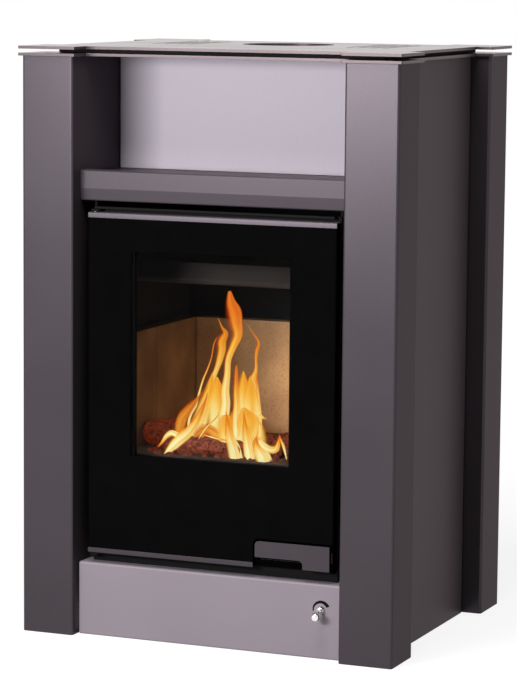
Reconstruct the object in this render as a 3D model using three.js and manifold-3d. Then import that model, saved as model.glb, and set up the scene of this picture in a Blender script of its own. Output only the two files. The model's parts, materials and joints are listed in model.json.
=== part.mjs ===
// A free-standing wood-burning stove: steel casing on four folded corner pillars, a warming
// niche over a glazed door, a fireclay-lined firebox, an ash pan and a rotary air control.
// Millimetres, +Z up. Origin: middle of the footprint on the floor. The door faces -Y.
import * as THREE from "three";
import { mergeVertices } from "three/addons/utils/BufferGeometryUtils.js";
import Module from "manifold-3d";

// ---------- driving dimensions ----------
const WIDTH = 686; // over the outer faces of the pillars
const DEPTH = 560;
const HEIGHT = 1000; // height of a pillar
const FIT = 0.3; // gap kept between two pieces that touch

// folded casing sheet
const PILLAR_FACE = 96;
const PILLAR_SIDE = 98;
const PILLAR_FLANGE = 70;
const PILLAR_LIP = 41;
const PILLAR_SHEET = 3;
const PILLAR_BEND = 4.5;
const PANEL_SHEET = 2;
const PANEL_BEND = 3;
const SIDE_RECESS = 35; // side panel behind the outer face of a pillar
const BACK_RECESS = 51;
const PANEL_FOLD = 19;
const PANEL_ROOM = 0.5; // left free at each end of a side or back panel
const BACK_PANEL_LOW = 30;
const LOUVRE_ROWS = [160, 880]; // lower ends of the two rows of louvre slots
const LOUVRE_COUNT = 9;
const LOUVRE_PITCH = 42;
const LOUVRE_HALF = 4;
const LOUVRE_HEIGHT = 60;
const LOUVRE_RADIUS = 3.9;

// front, from the floor up
const PLINTH_TOP = 127.5;
const PLINTH_RECESS = 19;
const PLINTH_GAP = 4;
const PLINTH_FLANGE = 47;
const PLINTH_FOOT = 22; // flange turned back along the floor
const RAIL_BOTTOM = 755;
const RAIL_TOP = 807;
const RAIL_RECESS = 29;
const RAIL_CREASE = 21; // height of the crease above the lower edge
const RAIL_LEAN = 2.5; // how far the strip under the crease leans back
const RAIL_DEPTH = 30;
const RAIL_TAIL = 20; // rear flange that the niche floor is screwed to
const RAIL_UNDERSIDE = 17;
const NICHE_FLOOR = 801;
const NICHE_BACK = 188; // behind the front face of the pillars
const NICHE_FLANGE = 20;
const NICHE_SIDE_FOLD = 16;

// top plates
const PLATE = 5;
const PLATE_GAP = 6.9;
const PLATE_OVERHANG = 5.5;
const PLATE_SIDE_EDGE = 319; // half width at the notches over the side panels
const PLATE_END_EDGE = 240; // half depth at the notches over the front rail and back panel
const PLATE_RADIUS = 2;
const FLUE_Y = 81;
const FLUE_HOLE = 81.5;
const FLUE_RADIUS = 75;
const FLUE_WALL = 2.5;
const FLUE_TOP = 1009;
const SLOT_COUNT = 4; // convection slots on each side of the flue
const SLOT_FIRST_X = 150;
const SLOT_PITCH = 22;
const SLOT_WIDTH = 8;
const SLOT_FRONT = -20;
const SLOT_REAR = 170;
const WINDOW_MARGIN = 15; // windows in the lower plate, round the slots of the upper one
const WINDOW_RADIUS = 6;
const SPACER_WALL = 12;
const SPACER_SIDE_INSET = 19;
const SPACER_END_INSET = 12;
const COLLAR_FLANGE = 14;
const COLLAR_FLANGE_SHEET = 3;

// welded firebox body
const BODY_HALF = 228;
const BODY_PLATE = 4;
const BODY_FLOOR = 156;
const BODY_TOP = 760;
const BODY_FRONT = -231.4;
const BODY_BACK = 160;
const HEARTH = 288;
const OPENING_HALF = 190;
const OPENING_TOP = 705;
const FRAME_BOTTOM = PLINTH_TOP + FIT; // the frame stands on the plinth's flange
const FRAME_TOP = 745;
const FRAME_LIP = 15;
const FRAME_LIP_INSET = 9;
const LEDGE_TOP = 602; // the baffle lies on a ledge along each side
const LEDGE_REACH = 14;
const LEDGE_SHEET = 4;
const LEDGE_FRONT = -70;
const LEDGE_BACK = 110;
const GRATE_REST = 12; // how far the hearth plate reaches under the grate
const BAFFLE_SHEET = 4;
const BAFFLE_BEND = 7;
const BAFFLE_FRONT = -104;
const BAFFLE_RISE = new THREE.Vector2(30, 36); // of its front flap
const AIRWASH_TOP = 741;
const AIRWASH_SHELF = new THREE.Vector2(32, 716); // reach behind the frame, and height
const AIRWASH_TIP = new THREE.Vector2(52, 692);

// base
const CRADLE_HALF = 150;
const CRADLE_LOW = 12;
const CRADLE_SHEET = 3;
const CRADLE_BEND = 5;
const FOOT_PROFILE = [[0, 0], [18, 0], [18, 3], [8, 5], [8, 11.7], [0, 11.7]];
const FOOT_X = 120;
const FOOT_FRONT = -180;
const FOOT_REAR = 130;

// fireclay lining
const LINING_INSIDE = 195;
const LINING_THICK = 28.7;
const LINING_TOP = 517;
const LINING_JOINT = -48;
const LINING_FRONT = -188;
const LINING_BACK = 120;
const LINING_BACK_THICK = 30;
const BRICK_EDGE = 2;
const SLAB_THICK = 20;
const GRATE_WIDTH = 160;
const GRATE_LENGTH = 200;
const GRATE_BAR = 10;
const GRATE_SLOTS = 7;
const GRATE_Y = -45;
const GRATE_THICK = 14;
const GRATE_DRAFT = 2; // how much wider a slot is underneath, on each side
const GRATE_END = 14;
const GUARD_SHEET = 3;
const GUARD_BEND = 5;
const GUARD_FOOT = 19;
const GUARD_HEIGHT = 19;

// door, closed
const DOOR_HALF = 228;
const DOOR_BOTTOM = 145;
const DOOR_TOP = 736;
const GLASS_FRONT = -257.8;
const GLASS_THICK = 5;
const DOOR_FRAME_FRONT = -252.4;
const DOOR_FRAME_BACK = -241.3;
const DOOR_LIP = 1.6;
const STRIP_HEIGHT = 9;
const STRIP_SHEET = 1.4;
const WINDOW_HALF = 143;
const WINDOW_BOTTOM = 316;
const WINDOW_TOP = 677;
const GASKET_OUT = 206;
const GASKET_WIDTH = 10;
const GASKET_BOTTOM = 149;
const GASKET_TOP = 722;
const GROOVE_DEPTH = 3;
const GASKET_BACK = -236.1;
const HINGE = new THREE.Vector2(-219, -247);
const HINGE_PIN = 3;
const HINGE_REACH = 30; // how far a hinge pin goes into the door frame
const BRACKET_LOW_SHEET = 4;
const BRACKET_HIGH_SHEET = 3.5;
const BRACKET_NOSE = new THREE.Vector2(7, 6); // half width and reach of a bracket's front end
const BRACKET_ROOT = [-9, 12]; // its ends along the front frame, from the hinge axis

// handle in the lower right corner of the door
const HANDLE_LEFT = 86;
const HANDLE_RIGHT = 221.5;
const HANDLE_FOOT_X = 173; // left edge of the wide right part
const HANDLE_TOP = 191.5;
const HANDLE_BAR_BOTTOM = 164;
const HANDLE_BOTTOM = 149;
const HANDLE_FRONT = -259;
const HANDLE_THICK = 3;
const HANDLE_GAP = 4;
const HANDLE_RADIUS = 7;
const HANDLE_SEAT = -250.5; // bottom of the recess behind the handle
const POCKET_RIGHT = 190;
const POCKET_LOW = 158;
const POCKET_BACK = -243.6;
const UNDERCUT_BACK = -246;
const POCKET_LEDGE = 4.5; // lip of the frame left standing under the finger pocket
const PIVOT = new THREE.Vector2(214, -248);
const PIVOT_PIN = 1.5;
const PIVOT_BARREL = 4;
const BARREL_LOW = 158;
const BARREL_HIGH = 182;
const BARREL_ROOM = 1.2; // clear round the barrel where the door frame is cut through for the keeper
const PIVOT_PIN_REACH = 7; // beyond the barrel, into the door frame
const WEB_HALF = 3; // web between the handle's plate and its barrel
const NOSE_INSET = 6;
const NOSE = [[-3, 0], [3, 0], [4.4, 7.5], [1.5, 9.5, 1], [-2, 7]]; // plan, from the pivot
const KEEPER_INSET = 3;
const KEEPER = [[-7, 0], [-7, -4], [-9, -6, 0.8], [-9, -9, 0.8], [-2.5, -9, 0.8], [-2.5, 0]];

// rotary air control behind the plinth
const AIR = new THREE.Vector2(208.5, 84); // X and Z of its axis
const BUSH_HOLE = 7;
const BUSH = [[-6, 6.6], [FIT, 6.6], [FIT, 7.6], [6.5, 5.4]]; // from the plinth face forward, and radius
const SPINDLE_RADIUS = 3;
const KNOB_RADIUS = 7.7;
const KNOB_DROP = new THREE.Vector3(-1.2, -22, -7.6); // plinth face to knob centre
const KNOB_SOCKET = 3.4;
const KNOB_JOINT = 3.2;
const SPINDLE_PROUD = 8;
const VALVE_Y = -150;
const VALVE_PLATE = 3;
const VALVE_RADIUS = 34;
const SHUTTER_SHEET = 3;
const PORT_OUTER = 29;
const PORT_INNER = 9;
const PORT_STEPS = 10;
const PORT_MIDDLE = 90; // degrees round the axis, from +X towards +Z
const PORT_ANGLE = 140;
const AIR_TURN = 160; // the shutter's turn from shut to fully open
const AIR_PORT = { x0: 176, x1: 220, y0: -110, y1: 10 }; // air hole in the firebox floor
const AIR_PORT_RADIUS = 6;
const AIR_BOX_SHEET = 2;
const AIR_BOX_MARGIN = 4; // round the shutter
const AIR_BOX_REAR = 10; // behind the air hole

// ash pan
const PAN_FRONT = -215;
const PAN_BACK = 60;
const PAN_HEIGHT = 64;
const PAN_HALF = 148;
const PAN_SHEET = 1.5;
const PAN_LOW = BODY_FLOOR + BODY_PLATE + 0.4; // it slides on the body's floor
const PULL_HALF = 55;
const PULL_HEIGHT = 46;
const PULL_REACH = 9;
const PULL_LIP = 10;
const PULL_BEND = 3;
const PULL_FOOT = 16; // spot-welded flat on the pan

const HALF_W = WIDTH / 2;
const HALF_D = DEPTH / 2;
const PILLAR_INNER = HALF_W - PILLAR_FACE;
const PLINTH_FACE = -HALF_D + PLINTH_RECESS;
const RAIL_FACE = -HALF_D + RAIL_RECESS;
const BACK_FACE = HALF_D - BACK_RECESS;
const ROUND = 32; // segments of a round bore or tube
const FINE = 16; // segments of a pin or a small bore
const OVER = 1; // how far a cutting tool reaches past what it cuts
const deg = THREE.MathUtils.degToRad;

// ---------- materials ----------
function finish(color, roughness, metalness) {
  return new THREE.MeshStandardMaterial({ color, roughness, metalness });
}

const charcoalPaint = () => finish(0x6b656b, 0.5, 0.4);
const silverPaint = () => finish(0x9a9199, 0.5, 0.4);
const blackSteel = () => finish(0x1c1b1d, 0.7, 0.4);
const fireclay = () => finish(0xb98f68, 0.95, 0);
const castIron = () => finish(0x2a2827, 0.8, 0.5);
const printedGlass = () => finish(0x0d0d0f, 0.08, 0);
const chrome = () => finish(0xd9d4d4, 0.12, 1);
const rope = () => finish(0x3c3b3a, 1, 0);
const galvanised = () => finish(0x8e9092, 0.45, 0.8);

// ---------- solids ----------
const wasm = await Module();
wasm.setup();

function solidOf(geometry) {
  const bare = geometry.clone();
  bare.deleteAttribute("normal");
  bare.deleteAttribute("uv");
  const merged = mergeVertices(bare, 1e-3);
  const triVerts = new Uint32Array(merged.index.array);
  const vertProperties = new Float32Array(merged.attributes.position.array);
  return new wasm.Manifold(new wasm.Mesh({ numProp: 3, vertProperties, triVerts }));
}

function geometryOf(solid) {
  const mesh = solid.getMesh();
  const geometry = new THREE.BufferGeometry();
  geometry.setAttribute("position", new THREE.BufferAttribute(mesh.vertProperties, 3));
  geometry.setIndex(new THREE.BufferAttribute(mesh.triVerts, 1));
  const flat = geometry.toNonIndexed();
  flat.computeVertexNormals();
  return flat;
}

function cut(geometry, ...tools) {
  return geometryOf(tools.reduce((solid, tool) => solid.subtract(solidOf(tool)), solidOf(geometry)));
}

function join(geometry, ...others) {
  return geometryOf(others.reduce((solid, other) => solid.add(solidOf(other)), solidOf(geometry)));
}

// A box given by its lowest and highest corner.
function block(low, high) {
  const size = high.map((value, axis) => value - low[axis]);
  const middle = high.map((value, axis) => (value + low[axis]) / 2);
  return new THREE.BoxGeometry(...size).translate(...middle);
}

// A cylinder along Z from its lower end.
function rod(radius, x, y, z0, z1, segments = ROUND) {
  const geometry = new THREE.CylinderGeometry(radius, radius, z1 - z0, segments).rotateX(Math.PI / 2);
  return geometry.translate(x, y, (z0 + z1) / 2);
}

// A cylinder along Y between two Y values.
function rodAlongY(radius, x, z, y0, y1, segments = ROUND) {
  return new THREE.CylinderGeometry(radius, radius, y1 - y0, segments).translate(x, (y0 + y1) / 2, z);
}

// A profile of [radius, height] points turned round the Y axis.
function turned(profile, segments) {
  return new THREE.LatheGeometry(profile.map(([r, height]) => new THREE.Vector2(r, height)), segments);
}

// A closed outline with rounded corners. Each corner is [x, y, radius]; a missing radius is sharp.
function outline(corners, segments = 4) {
  const points = [];
  corners.forEach(([x, y, radius = 0], i) => {
    const here = new THREE.Vector2(x, y);
    if (radius === 0) {
      points.push(here);
      return;
    }
    const [px, py] = corners.at(i - 1);
    const [nx, ny] = corners[(i + 1) % corners.length];
    const from = new THREE.Vector2(px - x, py - y).normalize();
    const to = new THREE.Vector2(nx - x, ny - y).normalize();
    const half = Math.acos(THREE.MathUtils.clamp(from.dot(to), -1, 1)) / 2;
    const middle = from.clone().add(to).normalize();
    const centre = here.clone().addScaledVector(middle, radius / Math.sin(half));
    const start = here.clone().addScaledVector(from, radius / Math.tan(half)).sub(centre);
    const end = here.clone().addScaledVector(to, radius / Math.tan(half)).sub(centre);
    const sweep = Math.atan2(start.cross(end), start.dot(end));
    for (let k = 0; k <= segments; k++) {
      points.push(start.clone().rotateAround(new THREE.Vector2(), (sweep * k) / segments).add(centre));
    }
  });
  return new THREE.Shape(points);
}

function rectangle(x0, x1, y0, y1, radius = 0, segments = 4) {
  return outline([[x0, y0, radius], [x1, y0, radius], [x1, y1, radius], [x0, y1, radius]], segments);
}

// The cross-section of a folded sheet. The path is the face of the sheet; side is +1 where the
// metal lies left of the path and -1 where it lies right of it. Outer bends have the given radius.
function sheetSection(path, sheet, bend, side, segments = 3) {
  const face = [];
  const back = [];
  const vertices = path.map(([x, y]) => new THREE.Vector2(x, y));
  const leftOf = (d) => new THREE.Vector2(-d.y, d.x).multiplyScalar(side * sheet);
  const run = (i) => vertices[i + 1].clone().sub(vertices[i]).normalize();
  vertices.forEach((vertex, i) => {
    if (i === 0 || i === vertices.length - 1) {
      const offset = leftOf(run(Math.min(i, vertices.length - 2)));
      face.push(vertex);
      back.push(vertex.clone().add(offset));
      return;
    }
    const before = run(i - 1);
    const after = run(i);
    const turn = Math.atan2(before.cross(after), before.dot(after));
    const outer = Math.sign(turn) === side;
    const radius = outer ? bend : bend - sheet;
    const other = outer ? bend - sheet : bend;
    const normal = new THREE.Vector2(-before.y, before.x).multiplyScalar(Math.sign(turn));
    const tangent = vertex.clone().addScaledVector(before, -radius * Math.tan(Math.abs(turn) / 2));
    const centre = tangent.clone().addScaledVector(normal, radius);
    for (let k = 0; k <= segments; k++) {
      const spoke = normal.clone().negate().rotateAround(new THREE.Vector2(), (turn * k) / segments);
      face.push(centre.clone().addScaledVector(spoke, radius));
      back.push(centre.clone().addScaledVector(spoke, other));
    }
  });
  return new THREE.Shape([...face, ...back.reverse()]);
}

function prism(shape, depth) {
  return new THREE.ExtrudeGeometry(shape, { depth, bevelEnabled: false, curveSegments: 8 });
}

const basis = (x, y, z) => new THREE.Matrix4().makeBasis(x, y, z);
const X = new THREE.Vector3(1, 0, 0);
const Y = new THREE.Vector3(0, 1, 0);
const Z = new THREE.Vector3(0, 0, 1);

// A plan outline raised from z0 to z1.
const upright = (shape, z0, z1) => prism(shape, z1 - z0).translate(0, 0, z0);

// A front outline (x, z) running back from y0 to y1.
function frontal(shape, y0, y1) {
  return prism(shape, y1 - y0).applyMatrix4(basis(X, Z, Y.clone().negate())).translate(0, y1, 0);
}

// A side section (y, z) running from x0 to x1.
function crosswise(shape, x0, x1) {
  return prism(shape, x1 - x0).applyMatrix4(basis(Y, Z, X)).translate(x0, 0, 0);
}

function piece(name, geometry, material) {
  const mesh = new THREE.Mesh(geometry, material);
  mesh.name = name;
  return mesh;
}

function assembly(...members) {
  const group = new THREE.Group();
  members.flat().forEach((member) => group.add(member));
  return group;
}

// ---------- casing ----------
// A pillar is one folded sheet: flange, front face, outer side and a lip that the side panel meets.
function pillar(sx, sy) {
  const flip = ([x, y]) => [x * sx, y * sy];
  const path = [
    [PILLAR_INNER, HALF_D - PILLAR_FLANGE],
    [PILLAR_INNER, HALF_D],
    [HALF_W, HALF_D],
    [HALF_W, HALF_D - PILLAR_SIDE],
    [HALF_W - PILLAR_LIP, HALF_D - PILLAR_SIDE],
  ].map(flip);
  return upright(sheetSection(path, PILLAR_SHEET, PILLAR_BEND, -sx * sy), 0, HEIGHT);
}

function pillars() {
  const corners = [
    ["front_left", -1, -1],
    ["front_right", 1, -1],
    ["rear_left", -1, 1],
    ["rear_right", 1, 1],
  ];
  return corners.map(([where, sx, sy]) => piece(`pillar_${where}`, pillar(sx, sy), charcoalPaint()));
}

function sidePanel(side) {
  const face = side * (HALF_W - SIDE_RECESS);
  const end = HALF_D - PILLAR_SIDE - PILLAR_SHEET - PANEL_ROOM;
  const fold = face - side * PANEL_FOLD;
  const path = [[fold, -end], [face, -end], [face, end], [fold, end]];
  return upright(sheetSection(path, PANEL_SHEET, PANEL_BEND, side), 0, HEIGHT);
}

// The back panel is a tray with two rows of louvre slots for the warm air.
function backPanel() {
  const half = PILLAR_INNER - PANEL_ROOM;
  const fold = BACK_FACE - PANEL_FOLD;
  const path = [[-half, fold], [-half, BACK_FACE], [half, BACK_FACE], [half, fold]];
  const tray = upright(sheetSection(path, PANEL_SHEET, PANEL_BEND, -1), BACK_PANEL_LOW, HEIGHT);
  const slots = [];
  for (const z of LOUVRE_ROWS) {
    for (let i = 0; i < LOUVRE_COUNT; i++) {
      const x = (i - (LOUVRE_COUNT - 1) / 2) * LOUVRE_PITCH;
      const slot = rectangle(x - LOUVRE_HALF, x + LOUVRE_HALF, z, z + LOUVRE_HEIGHT, LOUVRE_RADIUS, 3);
      slots.push(frontal(slot, BACK_FACE - PANEL_SHEET - OVER, BACK_FACE + OVER));
    }
  }
  return cut(tray, ...slots);
}

function plinthPanel() {
  const half = PILLAR_INNER - PLINTH_GAP;
  const path = [
    [PLINTH_FACE + PLINTH_FLANGE, PLINTH_TOP],
    [PLINTH_FACE, PLINTH_TOP],
    [PLINTH_FACE, 0],
    [PLINTH_FACE + PLINTH_FOOT, 0],
  ];
  const sheet = crosswise(sheetSection(path, PANEL_SHEET, PANEL_BEND, 1), -half, half);
  return cut(sheet, rodAlongY(BUSH_HOLE, AIR.x, AIR.y, PLINTH_FACE - OVER, PLINTH_FACE + PANEL_SHEET + OVER));
}

// The rail has a crease: the strip under it leans back a little.
function frontRail() {
  const half = PILLAR_INNER - FIT;
  const path = [
    [RAIL_FACE + RAIL_DEPTH, RAIL_TOP - RAIL_TAIL],
    [RAIL_FACE + RAIL_DEPTH, RAIL_TOP],
    [RAIL_FACE, RAIL_TOP],
    [RAIL_FACE, RAIL_BOTTOM + RAIL_CREASE],
    [RAIL_FACE + RAIL_LEAN, RAIL_BOTTOM],
    [RAIL_FACE + RAIL_UNDERSIDE, RAIL_BOTTOM],
  ];
  return crosswise(sheetSection(path, PANEL_SHEET, PANEL_BEND, 1), -half, half);
}

// ---------- warming niche ----------
// The floor is screwed to the rail's rear flange in front and stands on the firebox roof behind.
function nicheFloor() {
  const half = PILLAR_INNER - FIT;
  const front = RAIL_FACE + RAIL_DEPTH + FIT;
  const back = -HALF_D + NICHE_BACK;
  const roof = BODY_TOP + BODY_PLATE + 2 * FIT;
  const path = [[front, NICHE_FLOOR - NICHE_FLANGE], [front, NICHE_FLOOR], [back, NICHE_FLOOR], [back, roof]];
  return crosswise(sheetSection(path, PANEL_SHEET, PANEL_BEND, -1), -half, half);
}

function nicheSide(side) {
  const inner = side * (PILLAR_INNER + 1);
  const back = -HALF_D + NICHE_BACK;
  const front = -HALF_D + PILLAR_FLANGE + FIT;
  const path = [[inner, front], [inner, back], [inner + side * NICHE_SIDE_FOLD, back]];
  return upright(sheetSection(path, PANEL_SHEET, PANEL_BEND, -side), NICHE_FLOOR + FIT, HEIGHT);
}

function nicheBack() {
  const half = PILLAR_INNER;
  const y = -HALF_D + NICHE_BACK;
  return block([-half, y + FIT, NICHE_FLOOR + FIT], [half, y + FIT + PANEL_SHEET, HEIGHT]);
}

function niche() {
  return [
    piece("niche_floor", nicheFloor(), charcoalPaint()),
    piece("niche_side_left", nicheSide(-1), charcoalPaint()),
    piece("niche_side_right", nicheSide(1), charcoalPaint()),
    piece("niche_back", nicheBack(), silverPaint()),
  ];
}

// ---------- top ----------
// Both plates share one cross-shaped outline: corners over the pillars, notches over the panels.
function plateOutline() {
  const x = HALF_W + PLATE_OVERHANG;
  const y = HALF_D + PLATE_OVERHANG;
  const nx = PILLAR_INNER - PLATE_OVERHANG;
  const ny = HALF_D - PILLAR_SIDE - PLATE_OVERHANG;
  const r = PLATE_RADIUS;
  const quarter = [[x, ny, r], [x, y, r], [nx, y, r], [nx, PLATE_END_EDGE, r]];
  const mirrored = quarter.map(([px, py]) => [-px, py, r]).reverse();
  const back = [[PLATE_SIDE_EDGE, ny, r], ...quarter, ...mirrored, [-PLATE_SIDE_EDGE, ny, r]];
  const front = back.map(([px, py]) => [px, -py, r]).reverse();
  return outline([...back, ...front], 2);
}

function slotPlaces() {
  const places = [];
  for (let i = 0; i < SLOT_COUNT; i++) {
    const x = SLOT_FIRST_X + i * SLOT_PITCH;
    places.push(x, -x);
  }
  return places;
}

// A tool that cuts a plan outline through a plate.
const through = (shape, z0, z1) => upright(shape, z0 - OVER, z1 + OVER);

function lowerPlate() {
  const z0 = HEIGHT + FIT;
  const z1 = z0 + PLATE;
  const reach = SLOT_FIRST_X + SLOT_COUNT * SLOT_PITCH;
  const front = SLOT_FRONT - WINDOW_MARGIN;
  const rear = SLOT_REAR + WINDOW_MARGIN;
  return cut(
    upright(plateOutline(), z0, z1),
    rod(FLUE_HOLE, 0, FLUE_Y, z0 - OVER, z1 + OVER),
    through(rectangle(-reach, -SLOT_FIRST_X + SLOT_PITCH, front, rear, WINDOW_RADIUS), z0, z1),
    through(rectangle(SLOT_FIRST_X - SLOT_PITCH, reach, front, rear, WINDOW_RADIUS), z0, z1),
  );
}

function upperPlate() {
  const z0 = HEIGHT + FIT + PLATE + PLATE_GAP;
  const z1 = z0 + PLATE;
  const half = SLOT_WIDTH / 2;
  const slot = (x) => rectangle(x - half, x + half, SLOT_FRONT, SLOT_REAR, half - 0.1, 3);
  return cut(
    upright(plateOutline(), z0, z1),
    rod(FLUE_HOLE, 0, FLUE_Y, z0 - OVER, z1 + OVER),
    ...slotPlaces().map((x) => through(slot(x), z0, z1)),
  );
}

// The black frame that holds the two plates apart.
function topSpacer() {
  const z0 = HEIGHT + 2 * FIT + PLATE;
  const z1 = HEIGHT + PLATE + PLATE_GAP;
  const x = PLATE_SIDE_EDGE - SPACER_SIDE_INSET;
  const y = PLATE_END_EDGE - SPACER_END_INSET;
  const shape = rectangle(-x, x, -y, y, 4);
  const inside = rectangle(-x + SPACER_WALL, x - SPACER_WALL, -y + SPACER_WALL, y - SPACER_WALL, 3);
  shape.holes.push(new THREE.Path(inside.getPoints()));
  return upright(shape, z0, z1);
}

function flueCollar() {
  const foot = BODY_TOP + BODY_PLATE + 2 * FIT;
  const outer = FLUE_RADIUS;
  const inner = FLUE_RADIUS - FLUE_WALL;
  const flange = outer + COLLAR_FLANGE;
  const step = foot + COLLAR_FLANGE_SHEET;
  const profile = [
    [inner, foot],
    [flange, foot],
    [flange, step],
    [outer, step],
    [outer, FLUE_TOP],
    [inner, FLUE_TOP],
    [inner, foot],
  ];
  return turned(profile, ROUND).rotateX(Math.PI / 2).translate(0, FLUE_Y, 0);
}

function top() {
  return [
    piece("top_plate_lower", lowerPlate(), charcoalPaint()),
    piece("top_spacer_frame", topSpacer(), blackSteel()),
    piece("top_plate_upper", upperPlate(), charcoalPaint()),
    piece("flue_collar", flueCollar(), blackSteel()),
  ];
}

// ---------- firebox body ----------
// A side plate with the welded ledge that the baffle lies on.
function bodySide(side) {
  const outer = side * BODY_HALF;
  const inner = side * (BODY_HALF - BODY_PLATE);
  const ledge = side * (BODY_HALF - BODY_PLATE - LEDGE_REACH);
  const span = (a, b) => [Math.min(a, b), Math.max(a, b)];
  const [x0, x1] = span(outer, inner);
  const [l0, l1] = span(inner + side, ledge);
  const plate = block([x0, BODY_FRONT, BODY_FLOOR + BODY_PLATE + FIT], [x1, BODY_BACK, BODY_TOP]);
  return join(plate, block([l0, LEDGE_FRONT, LEDGE_TOP - LEDGE_SHEET], [l1, LEDGE_BACK, LEDGE_TOP]));
}

// A plate of the body's whole plan, from its lower face.
function bodySheet(z) {
  return block([-BODY_HALF, BODY_FRONT, z], [BODY_HALF, BODY_BACK + BODY_PLATE + FIT, z + BODY_PLATE]);
}

function bodyRoof() {
  const z = BODY_TOP + FIT;
  return cut(bodySheet(z), rod(FLUE_RADIUS - FLUE_WALL, 0, FLUE_Y, z - OVER, z + BODY_PLATE + OVER));
}

function bodyFloor() {
  const hole = rectangle(AIR_PORT.x0, AIR_PORT.x1, AIR_PORT.y0, AIR_PORT.y1, AIR_PORT_RADIUS);
  return cut(bodySheet(BODY_FLOOR), through(hole, BODY_FLOOR, BODY_FLOOR + BODY_PLATE));
}

function hearthPlate() {
  const half = BODY_HALF - BODY_PLATE - FIT;
  const x = GRATE_WIDTH / 2 - GRATE_REST;
  const y = GRATE_LENGTH / 2 - GRATE_REST;
  const shape = rectangle(-half, half, BODY_FRONT, BODY_BACK - FIT);
  shape.holes.push(new THREE.Path(rectangle(-x, x, GRATE_Y - y, GRATE_Y + y).getPoints()));
  return upright(shape, HEARTH, HEARTH + BODY_PLATE);
}

// The front frame carries the door: its opening, and the lip that shows over the door.
function frontFrame() {
  const y1 = BODY_FRONT - FIT;
  const y0 = y1 - BODY_PLATE;
  const plate = frontal(rectangle(-BODY_HALF, BODY_HALF, FRAME_BOTTOM, FRAME_TOP, 2, 2), y0, y1);
  const opening = rectangle(-OPENING_HALF, OPENING_HALF, BODY_FLOOR + BODY_PLATE, OPENING_TOP, 8);
  const lip = block(
    [-BODY_HALF + FRAME_LIP_INSET, y1 - FRAME_LIP, FRAME_TOP - BODY_PLATE],
    [BODY_HALF - FRAME_LIP_INSET, y0 + OVER, FRAME_TOP],
  );
  return join(cut(plate, frontal(opening, y0 - OVER, y1 + OVER)), lip);
}

function baffle() {
  const half = BODY_HALF - BODY_PLATE - 2;
  const low = LEDGE_TOP + FIT;
  const path = [
    [LINING_BACK + LINING_BACK_THICK, low],
    [BAFFLE_FRONT, low],
    [BAFFLE_FRONT + BAFFLE_RISE.x, LEDGE_TOP + BAFFLE_RISE.y],
  ];
  return crosswise(sheetSection(path, BAFFLE_SHEET, BAFFLE_BEND, -1), -half, half);
}

function airwash() {
  const half = BODY_HALF - BODY_PLATE - FIT;
  const front = BODY_FRONT + 0.1;
  const path = [
    [front, AIRWASH_TOP],
    [front, AIRWASH_SHELF.y],
    [front + AIRWASH_SHELF.x, AIRWASH_SHELF.y],
    [front + AIRWASH_TIP.x, AIRWASH_TIP.y],
  ];
  return crosswise(sheetSection(path, PANEL_SHEET, PANEL_BEND, 1), -half, half);
}

function firebox() {
  const back = BODY_BACK + FIT;
  const low = [-BODY_HALF, back, BODY_FLOOR + BODY_PLATE + FIT];
  const high = [BODY_HALF, back + BODY_PLATE, BODY_TOP];
  return [
    piece("firebox_side_left", bodySide(-1), blackSteel()),
    piece("firebox_side_right", bodySide(1), blackSteel()),
    piece("firebox_back", block(low, high), blackSteel()),
    piece("firebox_roof", bodyRoof(), blackSteel()),
    piece("firebox_floor", bodyFloor(), blackSteel()),
    piece("hearth_plate", hearthPlate(), blackSteel()),
    piece("front_frame", frontFrame(), blackSteel()),
    piece("baffle_plate", baffle(), blackSteel()),
    piece("airwash_deflector", airwash(), blackSteel()),
  ];
}

// ---------- fireclay and grate ----------
const HEARTH_TOP = HEARTH + BODY_PLATE + FIT;

// A board set on edge on the hearth plate.
function brick(x0, x1, y0, y1) {
  return upright(rectangle(x0, x1, y0, y1, BRICK_EDGE, 1), HEARTH_TOP, LINING_TOP);
}

function liningSide(side, y0, y1) {
  const inner = side * LINING_INSIDE;
  const outer = side * (LINING_INSIDE + LINING_THICK);
  return brick(Math.min(inner, outer), Math.max(inner, outer), y0, y1);
}

function hearthSlab() {
  const half = LINING_INSIDE - FIT;
  const x = GRATE_WIDTH / 2 + 1;
  const y = GRATE_LENGTH / 2 + 1;
  const shape = rectangle(-half, half, LINING_FRONT, LINING_BACK - FIT, BRICK_EDGE, 1);
  shape.holes.push(new THREE.Path(rectangle(-x, x, GRATE_Y - y, GRATE_Y + y, 3, 2).getPoints()));
  return upright(shape, HEARTH_TOP, HEARTH_TOP + SLAB_THICK);
}

// The cast grate: a plate with a row of long slots, wider underneath so that ash falls through.
function grate() {
  const half = GRATE_WIDTH / 2;
  const reach = GRATE_LENGTH / 2;
  const z0 = HEARTH_TOP;
  const z1 = z0 + GRATE_THICK;
  const plate = upright(rectangle(-half, half, GRATE_Y - reach, GRATE_Y + reach, 3, 2), z0, z1);
  const pitch = (GRATE_WIDTH - GRATE_BAR) / GRATE_SLOTS;
  const slots = [];
  for (let i = 0; i < GRATE_SLOTS; i++) {
    const x0 = -half + GRATE_BAR + i * pitch;
    const x1 = x0 + pitch - GRATE_BAR;
    const taper = [
      [x0 - GRATE_DRAFT, z0 - OVER],
      [x1 + GRATE_DRAFT, z0 - OVER],
      [x1, z1 + OVER],
      [x0, z1 + OVER],
    ];
    slots.push(frontal(outline(taper), GRATE_Y - reach + GRATE_END, GRATE_Y + reach - GRATE_END));
  }
  return cut(plate, ...slots);
}

function logGuard() {
  const y = LINING_FRONT - GUARD_SHEET;
  const path = [[y - GUARD_FOOT, HEARTH_TOP], [y, HEARTH_TOP], [y, HEARTH_TOP + GUARD_HEIGHT]];
  const half = LINING_INSIDE - FIT;
  return crosswise(sheetSection(path, GUARD_SHEET, GUARD_BEND, 1), -half, half);
}

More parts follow.
